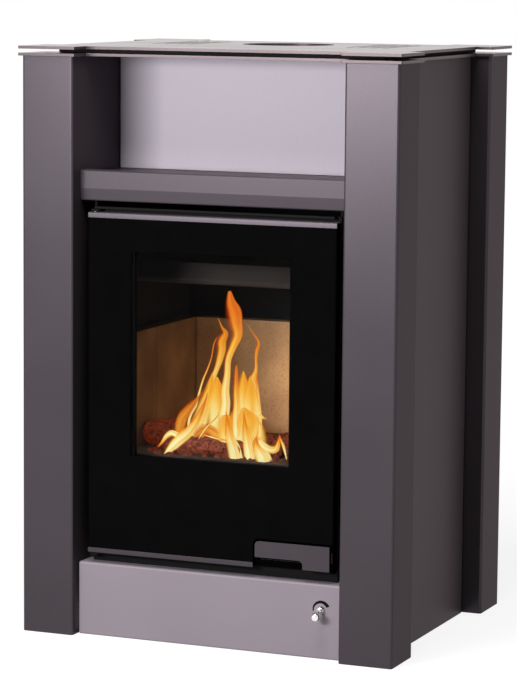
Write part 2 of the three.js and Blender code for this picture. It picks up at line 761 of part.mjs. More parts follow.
function lining() {
  const rear = LINING_BACK + LINING_BACK_THICK;
  const half = LINING_INSIDE - FIT;
  return [
    piece("lining_left_front", liningSide(-1, LINING_FRONT, LINING_JOINT - FIT), fireclay()),
    piece("lining_left_rear", liningSide(-1, LINING_JOINT, rear), fireclay()),
    piece("lining_right_front", liningSide(1, LINING_FRONT, LINING_JOINT - FIT), fireclay()),
    piece("lining_right_rear", liningSide(1, LINING_JOINT, rear), fireclay()),
    piece("lining_back", brick(-half, half, LINING_BACK, rear), fireclay()),
    piece("hearth_slab", hearthSlab(), fireclay()),
    piece("grate", grate(), castIron()),
    piece("log_guard", logGuard(), blackSteel()),
  ];
}

// ---------- base ----------
// A folded cradle carries the firebox on its two walls.
function baseCradle() {
  const wall = CRADLE_HALF;
  const front = PLINTH_FACE + PLINTH_FLANGE + FIT;
  const high = BODY_FLOOR - FIT;
  const path = [[-wall, high], [-wall, CRADLE_LOW], [wall, CRADLE_LOW], [wall, high]];
  return frontal(sheetSection(path, CRADLE_SHEET, CRADLE_BEND, 1), front, BODY_BACK);
}

// A levelling foot: pad, nut and stud, turned as one outline.
function levellingFoot(x, y) {
  return turned(FOOT_PROFILE, FINE).rotateX(Math.PI / 2).translate(x, y, 0);
}

function base() {
  return [
    piece("base_cradle", baseCradle(), blackSteel()),
    piece("foot_front_left", levellingFoot(-FOOT_X, FOOT_FRONT), galvanised()),
    piece("foot_front_right", levellingFoot(FOOT_X, FOOT_FRONT), galvanised()),
    piece("foot_rear_left", levellingFoot(-FOOT_X, FOOT_REAR), galvanised()),
    piece("foot_rear_right", levellingFoot(FOOT_X, FOOT_REAR), galvanised()),
  ];
}

// ---------- air supply ----------
// A sector-shaped port between two radii. The valve plate has one, and the shutter has its twin,
// turned away from it when the air is shut.
function port(middle, y0, y1) {
  const half = deg(PORT_ANGLE / 2);
  const points = [];
  const arc = (radius, from, to) => {
    for (let k = 0; k <= PORT_STEPS; k++) {
      const angle = deg(middle) + from + ((to - from) * k) / PORT_STEPS;
      points.push(new THREE.Vector2(AIR.x + radius * Math.cos(angle), AIR.y + radius * Math.sin(angle)));
    }
  };
  arc(PORT_OUTER, -half, half);
  arc(PORT_INNER, half, -half);
  return frontal(new THREE.Shape(points), y0, y1);
}

const BOX_LEFT = AIR.x - VALVE_RADIUS - AIR_BOX_MARGIN;
const BOX_RIGHT = AIR.x + VALVE_RADIUS + AIR_BOX_MARGIN;
const BOX_LOW = AIR.y - VALVE_RADIUS - AIR_BOX_MARGIN;
const BOX_TOP = BODY_FLOOR - FIT;

// The air box hangs under the firebox floor. Its front is left open for the valve plate.
function airBox() {
  const front = VALVE_Y + VALVE_PLATE + FIT;
  const rear = AIR_PORT.y1 + AIR_BOX_REAR;
  const wall = AIR_BOX_SHEET;
  const shell = block([BOX_LEFT, front, BOX_LOW], [BOX_RIGHT, rear, BOX_TOP]);
  const hollow = block(
    [BOX_LEFT + wall, front - OVER, BOX_LOW + wall],
    [BOX_RIGHT - wall, rear - wall, BOX_TOP - wall],
  );
  const mouth = rectangle(AIR_PORT.x0, AIR_PORT.x1, AIR_PORT.y0, AIR_PORT.y1);
  return cut(shell, hollow, through(mouth, BOX_TOP - wall, BOX_TOP));
}

function valvePlate() {
  const back = VALVE_Y + VALVE_PLATE;
  const plate = frontal(rectangle(BOX_LEFT, BOX_RIGHT, BOX_LOW, BOX_TOP, 1, 1), VALVE_Y, back);
  const opening = port(PORT_MIDDLE, VALVE_Y - OVER, back + OVER);
  const bore = rodAlongY(SPINDLE_RADIUS + FIT, AIR.x, AIR.y, VALVE_Y - OVER, back + OVER, FINE);
  return cut(plate, opening, bore);
}

// The bush in the plinth that the spindle turns in: a cone outside, a barrel through the sheet.
function spindleBush() {
  const bore = SPINDLE_RADIUS + FIT;
  const back = BUSH[0][0];
  const front = BUSH.at(-1)[0];
  const profile = [[bore, back], ...BUSH.map(([along, r]) => [r, along]), [bore, front], [bore, back]];
  return turned(profile, 24).rotateX(Math.PI).translate(AIR.x, PLINTH_FACE, AIR.y);
}

function airSupply() {
  return [
    piece("air_box", airBox(), blackSteel()),
    piece("air_valve_plate", valvePlate(), galvanised()),
    piece("spindle_bush", spindleBush(), chrome()),
  ];
}

// Turned with the knob: spindle, shutter disc and the cranked ball lever.
function spindle() {
  return rodAlongY(SPINDLE_RADIUS, AIR.x, AIR.y, PLINTH_FACE - SPINDLE_PROUD, VALVE_Y + VALVE_PLATE, 20);
}

function shutter() {
  const y1 = VALVE_Y - FIT;
  const y0 = y1 - SHUTTER_SHEET;
  const disc = rodAlongY(VALVE_RADIUS, AIR.x, AIR.y, y0, y1);
  const bore = rodAlongY(SPINDLE_RADIUS + FIT, AIR.x, AIR.y, y0 - OVER, y1 + OVER, FINE);
  return cut(disc, bore, port(PORT_MIDDLE + AIR_TURN, y0 - OVER, y1 + OVER));
}

function knob() {
  const start = PLINTH_FACE - SPINDLE_PROUD - FIT;
  const elbow = new THREE.Vector3(AIR.x, start - SPINDLE_RADIUS, AIR.y);
  const ball = new THREE.Vector3(AIR.x, PLINTH_FACE, AIR.y).add(KNOB_DROP);
  const socket = rodAlongY(KNOB_SOCKET, AIR.x, AIR.y, elbow.y - OVER, start, 20);
  const along = ball.clone().sub(elbow);
  const stem = new THREE.CylinderGeometry(SPINDLE_RADIUS, SPINDLE_RADIUS, along.length(), FINE);
  stem.applyQuaternion(new THREE.Quaternion().setFromUnitVectors(Y, along.clone().normalize()));
  const middle = elbow.clone().addScaledVector(along, 0.5);
  stem.translate(middle.x, middle.y, middle.z);
  const joint = new THREE.SphereGeometry(KNOB_JOINT, 12, 8).translate(elbow.x, elbow.y, elbow.z);
  const sphere = new THREE.SphereGeometry(KNOB_RADIUS, 28, 18).translate(ball.x, ball.y, ball.z);
  return join(sphere, stem, joint, socket);
}

function airControl() {
  return [
    piece("air_spindle", spindle(), galvanised()),
    piece("air_shutter", shutter(), galvanised()),
    piece("air_knob", knob(), chrome()),
  ];
}

// ---------- door ----------
// The cast frame: a window, side lips that guard the glass, a rope groove at the back, bores for
// the hinge pins, and at the lower right a recess for the handle with a pocket for the fingers.
function doorFrame() {
  const low = DOOR_BOTTOM + STRIP_SHEET + FIT;
  const high = DOOR_TOP - STRIP_SHEET - FIT;
  const ring = rectangle(-DOOR_HALF, DOOR_HALF, low, high);
  const window = rectangle(-WINDOW_HALF, WINDOW_HALF, WINDOW_BOTTOM, WINDOW_TOP, 5);
  ring.holes.push(new THREE.Path(window.getPoints()));
  const body = frontal(ring, DOOR_FRAME_FRONT, DOOR_FRAME_BACK);
  const paneLow = DOOR_BOTTOM + STRIP_HEIGHT + FIT;
  const paneHigh = DOOR_TOP - STRIP_HEIGHT - FIT;
  const lip = (x, z0) => block([x, GLASS_FRONT, z0], [x + DOOR_LIP, DOOR_FRAME_FRONT + OVER, paneHigh]);
  const recess = block(
    [HANDLE_LEFT - HANDLE_GAP, DOOR_FRAME_FRONT - OVER, low - OVER],
    [DOOR_HALF - DOOR_LIP, HANDLE_SEAT, HANDLE_TOP + HANDLE_GAP],
  );
  const undercut = block(
    [HANDLE_LEFT - HANDLE_GAP, DOOR_FRAME_FRONT - OVER, low - OVER],
    [PIVOT.x - PIVOT_BARREL - 2, UNDERCUT_BACK, POCKET_LOW - POCKET_LEDGE],
  );
  const hollow = rectangle(HANDLE_LEFT, POCKET_RIGHT, POCKET_LOW, HANDLE_TOP, 5);
  const pocket = frontal(hollow, DOOR_FRAME_FRONT - OVER, POCKET_BACK);
  const keeperGap = block(
    [PIVOT.x - PIVOT_BARREL - BARREL_ROOM, DOOR_FRAME_FRONT - OVER, BARREL_LOW - 1],
    [DOOR_HALF - DOOR_LIP, DOOR_FRAME_BACK + OVER, BARREL_HIGH + 1],
  );
  const hinge = (z0, z1) => rod(HINGE_PIN + FIT, HINGE.x, HINGE.y, z0, z1, FINE);
  const pinReach = PIVOT_PIN_REACH + 1;
  return cut(
    join(body, lip(-DOOR_HALF, paneLow), lip(DOOR_HALF - DOOR_LIP, low)),
    frontal(gasketRing(0.4), DOOR_FRAME_BACK - GROOVE_DEPTH, DOOR_FRAME_BACK + OVER),
    recess,
    undercut,
    pocket,
    keeperGap,
    hinge(low - OVER, low + HINGE_REACH + 2),
    hinge(high - HINGE_REACH - 2, high + OVER),
    rod(PIVOT_PIN + FIT, PIVOT.x, PIVOT.y, BARREL_LOW - pinReach, BARREL_HIGH + pinReach, 12),
  );
}

// The rope's outline in front view, widened on both sides by the given room.
function gasketRing(room) {
  const out = GASKET_OUT + room;
  const inside = GASKET_OUT - GASKET_WIDTH - room;
  const low = GASKET_BOTTOM - room;
  const high = GASKET_TOP + room;
  const shape = rectangle(-out, out, low, high, 12, 3);
  const wide = GASKET_WIDTH + 2 * room;
  const inner = rectangle(-inside, inside, low + wide, high - wide, 5, 3);
  shape.holes.push(new THREE.Path(inner.getPoints()));
  return shape;
}

// The pane has a rounded cut-out for the handle in its lower right corner.
function glassPane() {
  const left = -DOOR_HALF + DOOR_LIP + FIT;
  const right = -left;
  const low = DOOR_BOTTOM + STRIP_HEIGHT + FIT;
  const high = DOOR_TOP - STRIP_HEIGHT - FIT;
  const cutLeft = HANDLE_LEFT - HANDLE_GAP;
  const cutTop = HANDLE_TOP + HANDLE_GAP;
  const corners = [
    [left, low],
    [cutLeft, low],
    [cutLeft, cutTop, HANDLE_RADIUS + HANDLE_GAP],
    [right, cutTop],
    [right, high],
    [left, high],
  ];
  return frontal(outline(corners, 6), GLASS_FRONT, GLASS_FRONT + GLASS_THICK);
}

// An edge strip is folded round the door's top or bottom edge, with a hole for the hinge pin.
function edgeStrip(x1, edge, direction) {
  const face = edge - direction * STRIP_HEIGHT;
  const front = GLASS_FRONT - 0.5;
  const path = [[front, face], [front, edge], [DOOR_FRAME_BACK, edge]];
  const strip = crosswise(sheetSection(path, STRIP_SHEET, 2, -direction), -DOOR_HALF, x1);
  return cut(strip, rod(HINGE_PIN + 1, HINGE.x, HINGE.y, edge - 5, edge + 5, FINE));
}

function door() {
  const pinLow = BARREL_LOW - PIVOT_PIN_REACH;
  const pinHigh = BARREL_HIGH + PIVOT_PIN_REACH;
  const stripEnd = HANDLE_LEFT - HANDLE_GAP;
  const ropeFront = DOOR_FRAME_BACK - GROOVE_DEPTH + FIT;
  return [
    piece("door_frame", doorFrame(), blackSteel()),
    piece("door_glass", glassPane(), printedGlass()),
    piece("door_strip_top", edgeStrip(DOOR_HALF, DOOR_TOP, 1), charcoalPaint()),
    piece("door_strip_bottom", edgeStrip(stripEnd, DOOR_BOTTOM, -1), charcoalPaint()),
    piece("door_gasket", frontal(gasketRing(0), ropeFront, GASKET_BACK), rope()),
    piece("handle_pivot_pin", rod(PIVOT_PIN, PIVOT.x, PIVOT.y, pinLow, pinHigh, 12), galvanised()),
  ];
}

// The flat handle: a finger bar and a wide foot, with the pivot barrel and latch nose behind it.
function handle() {
  const corners = [
    [HANDLE_FOOT_X, HANDLE_BOTTOM],
    [HANDLE_RIGHT, HANDLE_BOTTOM, 1],
    [HANDLE_RIGHT, HANDLE_TOP, 1],
    [HANDLE_LEFT, HANDLE_TOP, HANDLE_RADIUS],
    [HANDLE_LEFT, HANDLE_BAR_BOTTOM, 1],
    [HANDLE_FOOT_X, HANDLE_BAR_BOTTOM, 8],
  ];
  const back = HANDLE_FRONT + HANDLE_THICK;
  const barrel = rod(PIVOT_BARREL, PIVOT.x, PIVOT.y, BARREL_LOW, BARREL_HIGH, 20);
  const web = block(
    [PIVOT.x - WEB_HALF, back - OVER, BARREL_LOW],
    [PIVOT.x + WEB_HALF, PIVOT.y - 1, BARREL_HIGH],
  );
  const nose = NOSE.map(([x, y, r]) => [PIVOT.x + x, PIVOT.y + y, r]);
  const hook = upright(outline(nose, 3), BARREL_LOW + NOSE_INSET, BARREL_HIGH - NOSE_INSET);
  const solid = join(frontal(outline(corners), HANDLE_FRONT, back), web, barrel, hook);
  return cut(solid, rod(PIVOT_PIN + FIT, PIVOT.x, PIVOT.y, BARREL_LOW - OVER, BARREL_HIGH + OVER, 12));
}

// The catch on the front frame that the latch nose closes on.
function keeper() {
  const y1 = BODY_FRONT - BODY_PLATE - 2 * FIT;
  const corners = KEEPER.map(([x, y, r]) => [DOOR_HALF + x, y1 + y, r]);
  return upright(outline(corners, 2), BARREL_LOW + KEEPER_INSET, BARREL_HIGH - KEEPER_INSET);
}

// Hinge brackets stand forward from the front frame; the pins run from them into the door frame.
function hinges() {
  const y1 = BODY_FRONT - BODY_PLATE - 2 * FIT;
  const nose = HINGE.y - BRACKET_NOSE.y;
  const plate = outline([
    [HINGE.x + BRACKET_ROOT[0], y1],
    [HINGE.x - BRACKET_NOSE.x, nose, 4],
    [HINGE.x + BRACKET_NOSE.x, nose, 4],
    [HINGE.x + BRACKET_ROOT[1], y1],
  ]);
  const pin = (z0, z1) => rod(HINGE_PIN, HINGE.x, HINGE.y, z0, z1, FINE);
  const low = DOOR_BOTTOM - 1;
  const high = DOOR_TOP + 1;
  return [
    piece("hinge_bracket_bottom", upright(plate, low - BRACKET_LOW_SHEET, low), blackSteel()),
    piece("hinge_pin_bottom", pin(low + FIT, low + HINGE_REACH), galvanised()),
    piece("hinge_bracket_top", upright(plate, high, high + BRACKET_HIGH_SHEET), blackSteel()),
    piece("hinge_pin_top", pin(high - HINGE_REACH, high - FIT), galvanised()),
    piece("latch_keeper", keeper(), galvanised()),
  ];
}

// ---------- ash pan ----------
// An open box of folded sheet.
function ashPan() {
  const wall = PAN_SHEET;
  const shell = block([-PAN_HALF, PAN_FRONT, PAN_LOW], [PAN_HALF, PAN_BACK, PAN_LOW + PAN_HEIGHT]);
  const hollow = block(
    [-PAN_HALF + wall, PAN_FRONT + wall, PAN_LOW + wall],
    [PAN_HALF - wall, PAN_BACK - wall, PAN_LOW + PAN_HEIGHT + OVER],
  );
  return cut(shell, hollow);
}

// A folded strip on the front of the pan: foot on the pan, ledge, and a lip to hook a finger under.
function ashPanPull() {
  const foot = PAN_FRONT - FIT;
  const high = PAN_LOW + PULL_HEIGHT;
  const path = [
    [foot, high - PULL_FOOT],
    [foot, high],
    [PAN_FRONT - PULL_REACH, high],
    [PAN_FRONT - PULL_REACH, high - PULL_LIP],
  ];
  return crosswise(sheetSection(path, PAN_SHEET, PULL_BEND, 1), -PULL_HALF, PULL_HALF);
}

// ---------- the whole stove ----------
export default assembly(
  pillars(),
  piece("side_panel_left", sidePanel(-1), charcoalPaint()),
  piece("side_panel_right", sidePanel(1), charcoalPaint()),
  piece("back_panel", backPanel(), blackSteel()),
  piece("plinth_panel", plinthPanel(), silverPaint()),
  piece("front_rail", frontRail(), charcoalPaint()),
  assembly(niche()),
  assembly(top()),
  assembly(firebox()),
  assembly(lining()),
  assembly(base()),
  assembly(airSupply()),
  assembly(hinges()),
  assembly(door(), piece("door_handle", handle(), charcoalPaint())),
  assembly(piece("ash_pan", ashPan(), galvanised()), piece("ash_pan_pull", ashPanPull(), galvanised())),
  assembly(airControl()),
);
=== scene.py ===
"""The looks of a free-standing wood-burning stove, in metres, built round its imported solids.

+Z is up and the door faces -Y. Every folded sheet, board and casting keeps the solid's own shape
and gets the small edge radius and the finish of the real piece. Screws, spring clips, the gasket
rope, the printed marks, the logs and the fire are made here.
"""

import json
import logging
import math
from dataclasses import dataclass
from enum import Enum

import bmesh
import bpy
from mathutils import Matrix, Vector, noise

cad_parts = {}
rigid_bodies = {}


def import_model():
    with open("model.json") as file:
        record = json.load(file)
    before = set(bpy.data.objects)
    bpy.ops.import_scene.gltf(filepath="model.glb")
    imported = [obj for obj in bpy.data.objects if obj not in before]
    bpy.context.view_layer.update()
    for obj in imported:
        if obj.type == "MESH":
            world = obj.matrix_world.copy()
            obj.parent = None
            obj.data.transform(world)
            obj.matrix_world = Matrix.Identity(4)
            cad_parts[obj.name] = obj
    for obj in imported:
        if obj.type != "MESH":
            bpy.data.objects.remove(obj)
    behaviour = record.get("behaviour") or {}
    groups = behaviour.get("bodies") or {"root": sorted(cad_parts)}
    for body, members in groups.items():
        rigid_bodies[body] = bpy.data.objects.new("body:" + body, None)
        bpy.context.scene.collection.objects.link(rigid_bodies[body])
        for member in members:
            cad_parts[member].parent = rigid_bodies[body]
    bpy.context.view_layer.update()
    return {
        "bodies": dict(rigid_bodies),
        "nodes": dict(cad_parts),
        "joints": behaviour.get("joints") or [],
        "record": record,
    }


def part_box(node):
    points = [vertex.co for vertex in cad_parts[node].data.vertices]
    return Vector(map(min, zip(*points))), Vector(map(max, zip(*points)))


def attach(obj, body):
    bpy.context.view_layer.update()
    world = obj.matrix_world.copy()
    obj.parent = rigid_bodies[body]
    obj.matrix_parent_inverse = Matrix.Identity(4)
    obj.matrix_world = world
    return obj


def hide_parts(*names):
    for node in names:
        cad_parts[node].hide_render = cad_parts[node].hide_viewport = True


log = logging.getLogger("stove")
MM = 0.001
REARWARD = Vector((0, 1, 0))
CORNERS = ("front_left", "front_right", "rear_left", "rear_right")
TOUCHING = 0.01 * MM  # vertices of a solid's loose triangles that are this near are one
NOISE_SPAN = (0.3, 0.7)  # nearly all values of a noise texture lie between these


# ---------------------------------------------------------------- shared tools
def linear(code: str) -> tuple[float, float, float, float]:
    """Turns an sRGB hex colour into a linear one.

    Args:
        code: Six hex digits, such as "6b656b".

    Returns:
        Red, green, blue and an alpha of 1.
    """
    shares = [int(code[i : i + 2], 16) / 255 for i in (0, 2, 4)]
    return (*(s / 12.92 if s <= 0.04045 else ((s + 0.055) / 1.055) ** 2.4 for s in shares), 1.0)


def grey(value: float) -> tuple[float, float, float, float]:
    """A grey of that linear value."""
    return (value, value, value, 1.0)


def add_node(tree: bpy.types.NodeTree, kind: str, settings: dict | None = None) -> bpy.types.Node:
    """Adds a node with its settings and links.

    Args:
        tree: The node tree.
        kind: The node's type name.
        settings: Properties of the node by name, and its inputs by name or number. An input that is
            given a socket is linked to it, and one that is given a node to that node's first output.

    Returns:
        The new node.
    """
    node = tree.nodes.new(kind)
    for key, value in (settings or {}).items():
        if isinstance(key, str) and key in node.bl_rna.properties:
            setattr(node, key, value)
            continue
        source = value.outputs[0] if isinstance(value, bpy.types.Node) else value
        if isinstance(source, bpy.types.NodeSocket):
            tree.links.new(source, node.inputs[key])
        else:
            node.inputs[key].default_value = source
    return node


def mesh_object(name: str, mesh: bpy.types.Mesh) -> bpy.types.Object:
    """Links a new object that holds the mesh.

    Args:
        name: The object's name.
        mesh: The mesh.

    Returns:
        The object.
    """
    made = bpy.data.objects.new(name, mesh)
    bpy.context.scene.collection.objects.link(made)
    return made


def shade_smooth(mesh: bpy.types.Mesh) -> None:
    """Shades every face smooth."""
    mesh.polygons.foreach_set("use_smooth", [True] * len(mesh.polygons))
    mesh.update()


def from_bmesh(name: str, bm: bmesh.types.BMesh, smooth: bool = False) -> bpy.types.Object:
    """Ends a bmesh and links the object that holds it.

    Args:
        name: The object's name.
        bm: The faces.
        smooth: Whether they are shaded smooth.

    Returns:
        The object.
    """
    mesh = bpy.data.meshes.new(name)
    bm.to_mesh(mesh)
    bm.free()
    if smooth:
        shade_smooth(mesh)
    return mesh_object(name, mesh)


def merged_solid(frame: dict, node: str) -> bmesh.types.BMesh:
    """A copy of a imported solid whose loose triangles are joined.

    Args:
        node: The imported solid's node.

    Returns:
        The copy.
    """
    bm = bmesh.new()
    bm.from_mesh(frame["nodes"][node].data)
    bmesh.ops.remove_doubles(bm, verts=bm.verts, dist=TOUCHING)
    return bm


def loft(bm: bmesh.types.BMesh, rings: list[list[bmesh.types.BMVert]]) -> None:
    """Joins each ring of vertices to the next one with quads.

    Args:
        bm: Where the faces go.
        rings: Closed rings, each with as many vertices as the next.
    """
    for low, high in zip(rings, rings[1:]):
        for k in range(len(low)):
            after = (k + 1) % len(low)
            bm.faces.new((low[k], low[after], high[after], high[k]))


def baked(source: bpy.types.Object) -> bpy.types.Object:
    """Turns an object with modifiers into a plain mesh object of the same name.

    Args:
        source: The object, which is removed.

    Returns:
        The object that holds the result.
    """
    bpy.context.view_layer.update()
    depsgraph = bpy.context.evaluated_depsgraph_get()
    mesh = bpy.data.meshes.new_from_object(source.evaluated_get(depsgraph))
    name = source.name
    bpy.data.objects.remove(source)
    mesh.name = name
    return mesh_object(name, mesh)


# ---------------------------------------------------------------- finishes
@dataclass(frozen=True)
class Grain:
    """A random pattern in the piece's own coordinates.

    Attributes:
        size_mm: Size of its patches.
        detail: How many finer layers lie over them.
        breakup: How much the finer layers weigh.
    """

    size_mm: float
    detail: float = 2.0
    breakup: float = 0.5

    def noise(self, tree: bpy.types.NodeTree) -> bpy.types.Node:
        """Adds the pattern and the coordinates that it reads.

        Args:
            tree: The material's tree.

        Returns:
            The noise node.
        """
        place = add_node(tree, "ShaderNodeTexCoord")
        settings = {
            "Vector": place.outputs["Object"],
            "Scale": 1000 / self.size_mm,
            "Detail": self.detail,
            "Roughness": self.breakup,
        }
        return add_node(tree, "ShaderNodeTexNoise", settings)

    def between(self, tree: bpy.types.NodeTree, low: float, high: float) -> bpy.types.NodeSocket:
        """Stretches the pattern over a range.

        Args:
            tree: The material's tree.
            low: Its lowest value.
            high: Its highest value.

        Returns:
            The socket that gives the value.
        """
        start, end = NOISE_SPAN
        span = {"From Min": start, "From Max": end, "To Min": low, "To Max": high}
        return add_node(tree, "ShaderNodeMapRange", {"Value": self.noise(tree), **span}).outputs["Result"]

    def colours(
        self, tree: bpy.types.NodeTree, first: object, second: object, share: tuple[float, float] = (0.0, 1.0)
    ) -> bpy.types.NodeSocket:
        """Mixes two colours by the pattern.

        Args:
            tree: The material's tree.
            first: A linear colour, or a socket that gives one.
            second: The colour of the patches, likewise.
            share: How much of the second colour shows where the pattern is lowest and highest.

        Returns:
            The socket that gives the colour.
        """
        mixed = {"data_type": "RGBA", 0: self.between(tree, *share), 6: first, 7: second}
        return add_node(tree, "ShaderNodeMix", mixed).outputs[2]

    def bump(self, tree: bpy.types.NodeTree, strength: float, height_mm: float) -> bpy.types.Node:
        """Tilts the shading as if the pattern stood up from the surface by that height."""
        raised = {"Height": self.noise(tree), "Strength": strength, "Distance": height_mm * MM}
        return add_node(tree, "ShaderNodeBump", raised)


class Finish:
    """A material that is built once, however many pieces wear it.

    Attributes:
        name: The material's name.
        slot: The record's material slot of this finish; it is not used here.
    """

    name: str
    slot: str
    _built: dict[str, bpy.types.Material] = {}

    def material(self) -> bpy.types.Material:
        """The material, built at its first use.

        Returns:
            The same material at every call.
        """
        if self.name not in Finish._built:
            made = bpy.data.materials.new(self.name)
            made.use_nodes = True
            made.node_tree.nodes.clear()
            self.build(made.node_tree)
            Finish._built[self.name] = made
        return Finish._built[self.name]

    def build(self, tree: bpy.types.NodeTree) -> None:
        """Builds the nodes."""
        raise NotImplementedError

    def shader(self, tree: bpy.types.NodeTree, settings: dict) -> None:
        """Adds the Principled shader and the output."""
        made = add_node(tree, "ShaderNodeBsdfPrincipled", settings)
        add_node(tree, "ShaderNodeOutputMaterial", {"Surface": made})


@dataclass(frozen=True)
class StovePaint(Finish):
    """Silicone stove paint with aluminium flake, sprayed on folded steel and baked.

    The flake makes a soft sheen that mirrors a lamp as a broad glow, with a fine sparkle; the spray
    leaves a faint orange peel. Real flake is about 0.05 mm; it is drawn at 1.3 mm, as fine as the
    render can show. A plate baked lying down flows out smoother on its upper face.

    Attributes:
        colour: The paint's middle colour, sRGB hex.
        metallic: How much of the light the flake returns as a metal does.
        roughness: Of every face but the upper ones.
        flat_roughness: Of the upper faces.
        gloss: Sheen of the binder over the flake.
        edge: Colour of that sheen at a flat angle.
        contrast: How far the flakes are darker and lighter than the middle colour.
        flake: Their pattern.
        cloud: Where the spray is thicker and thinner.
        peel: The orange peel.
    """

    name: str
    colour: str
    metallic: float = 0.34
    roughness: float = 0.36
    flat_roughness: float = 0.36
    gloss: float = 0.04
    edge: str = "aa9da0"
    contrast: float = 0.06
    flake: Grain = Grain(1.3, 1.0)
    cloud: Grain = Grain(210.0, 1.0)
    peel: Grain = Grain(2.6)
    slot: str = "charcoal_paint"

    def build(self, tree: bpy.types.NodeTree) -> None:
        """Builds the nodes.

        Args:
            tree: The material's tree.
        """
        base = Vector(linear(self.colour)[:3])
        dark, light = ((*(base * (1 + sign * self.contrast)), 1.0) for sign in (-1, 1))
        sparkle = self.flake.colours(tree, dark, light)
        cloudy = {"Color": sparkle, "Value": self.cloud.between(tree, 0.97, 1.03)}
        facing = add_node(tree, "ShaderNodeNewGeometry").outputs["True Normal"]
        upward = add_node(tree, "ShaderNodeSeparateXYZ", {"Vector": facing}).outputs["Z"]
        upper = {"Value": upward, "From Min": 0.8, "From Max": 0.98}
        ends = {"To Min": self.roughness, "To Max": self.flat_roughness}
        flat = add_node(tree, "ShaderNodeMapRange", upper | ends)
        uneven = {"operation": "ADD", 0: flat, 1: self.cloud.between(tree, -0.02, 0.02)}
        self.shader(
            tree,
            {
                "Base Color": add_node(tree, "ShaderNodeHueSaturation", cloudy),
                "Metallic": self.metallic,
                "Roughness": add_node(tree, "ShaderNodeMath", uneven),
                "Specular IOR Level": self.gloss,
                "Specular Tint": linear(self.edge),
                "Normal": self.peel.bump(tree, 0.03, 0.2),
            },
        )


@dataclass(frozen=True)
class Mottled(Finish):
    """A finish whose colour wanders between two values, and its roughness with it.

    Attributes:
        colour: Its main colour, sRGB hex.
        patch: The colour of its patches.
        grain: The pattern of the patches.
        share: How much of the patch colour shows where the pattern is lowest and highest.
        roughness: In the main colour and in the patches.
        metallic: 1 for a bare metal.
        gloss: Strength of the clear reflection over the colour.
        sheen: Strength of the glow of fibres at a flat angle.
        skin: The pattern of its raised grain, where it has one.
        relief: The strength and the height in mm of that grain.
    """

    name: str
    colour: str
    patch: str
    grain: Grain = Grain(9.0)
    share: tuple[float, float] = (0.0, 1.0)
    roughness: tuple[float, float] = (0.5, 0.5)
    metallic: float = 0.0
    gloss: float = 0.5
    sheen: float = 0.0
    skin: Grain | None = None
    relief: tuple[float, float] = (0.0, 0.0)
    slot: str = "black_steel"

    def build(self, tree: bpy.types.NodeTree) -> None:
        """Builds the nodes.

        Args:
            tree: The material's tree.
        """
        low, high = self.roughness
        settings = {
            "Base Color": self.grain.colours(tree, linear(self.colour), linear(self.patch), self.share),
            "Metallic": self.metallic,
            "Roughness": low if low == high else self.grain.between(tree, low, high),
            "Specular IOR Level": self.gloss,
            "Sheen Weight": self.sheen,
        }
        if self.skin:
            settings["Normal"] = self.skin.bump(tree, *self.relief)
        self.shader(tree, settings)


@dataclass(frozen=True)
class HeatBlack(Mottled):
    """Matt black heat-resistant paint on plate steel, brushed on thickly: dull, with dusty mottling."""

    name: str = "matt_black_heat_paint"
    colour: str = "0d0c0e"
    patch: str = "171516"
    grain: Grain = Grain(45.0, 4.0)
    share: tuple[float, float] = (0.0, 0.7)
    roughness: tuple[float, float] = (0.6, 0.7)
    gloss: float = 0.1
    skin: Grain | None = Grain(1.1)
    relief: tuple[float, float] = (0.15, 0.1)


@dataclass(frozen=True)
class CastIron(Mottled):
    """Sand-cast iron: dark, with a pebbly skin whose high spots are a lighter colour, a painted sheen."""

    name: str = "sand_cast_iron"
    colour: str = "2b2928"
    # painted sheen: the patch colour follows the same grain as the skin, so the high spots are lighter
    patch: str = "4a4745"
    grain: Grain = Grain(1.6, 3.0, 0.6)
    roughness: tuple[float, float] = (0.66, 0.66)
    metallic: float = 0.5
    skin: Grain | None = Grain(1.6, 3.0, 0.6)
    relief: tuple[float, float] = (0.6, 0.3)
    slot: str = "cast_iron"


@dataclass(frozen=True)
class PlatedSteel(Mottled):
    """Plated steel: a grey metal with cloudy spangle where it is zinc, and a mirror where it is chrome."""

    metallic: float = 1.0


@dataclass(frozen=True)
class FiredEnamel(Mottled):
    """Black ceramic enamel, screen-printed on the pane and fired: deep, even and glossy."""

    name: str = "fired_black_enamel"
    colour: str = "050506"
    patch: str = "070708"
    grain: Grain = Grain(50.0, 1.0)
    roughness: tuple[float, float] = (0.08, 0.12)
    gloss: float = 0.02
    slot: str = "printed_glass"


@dataclass(frozen=True)
class PadPrint(Mottled):
    """Pad-printed black ink on paint: flat and slightly uneven in its cover."""

    name: str = "pad_printed_ink"
    colour: str = "0b0a0b"
    patch: str = "161516"
    grain: Grain = Grain(1.5)
    roughness: tuple[float, float] = (0.6, 0.6)
    gloss: float = 0.05


@dataclass(frozen=True)
class GlassRope(Mottled):
    """Knitted glass-fibre rope, graphite-dipped: dark grey, soft, with pale broken fibres."""

    name: str = "knitted_glass_rope"
    colour: str = "353433"
    patch: str = "6a6764"
    grain: Grain = Grain(1.2, 3.0, 0.7)
    share: tuple[float, float] = (0.0, 0.8)
    roughness: tuple[float, float] = (1.0, 1.0)
    sheen: float = 0.3
    slot: str = "rope"


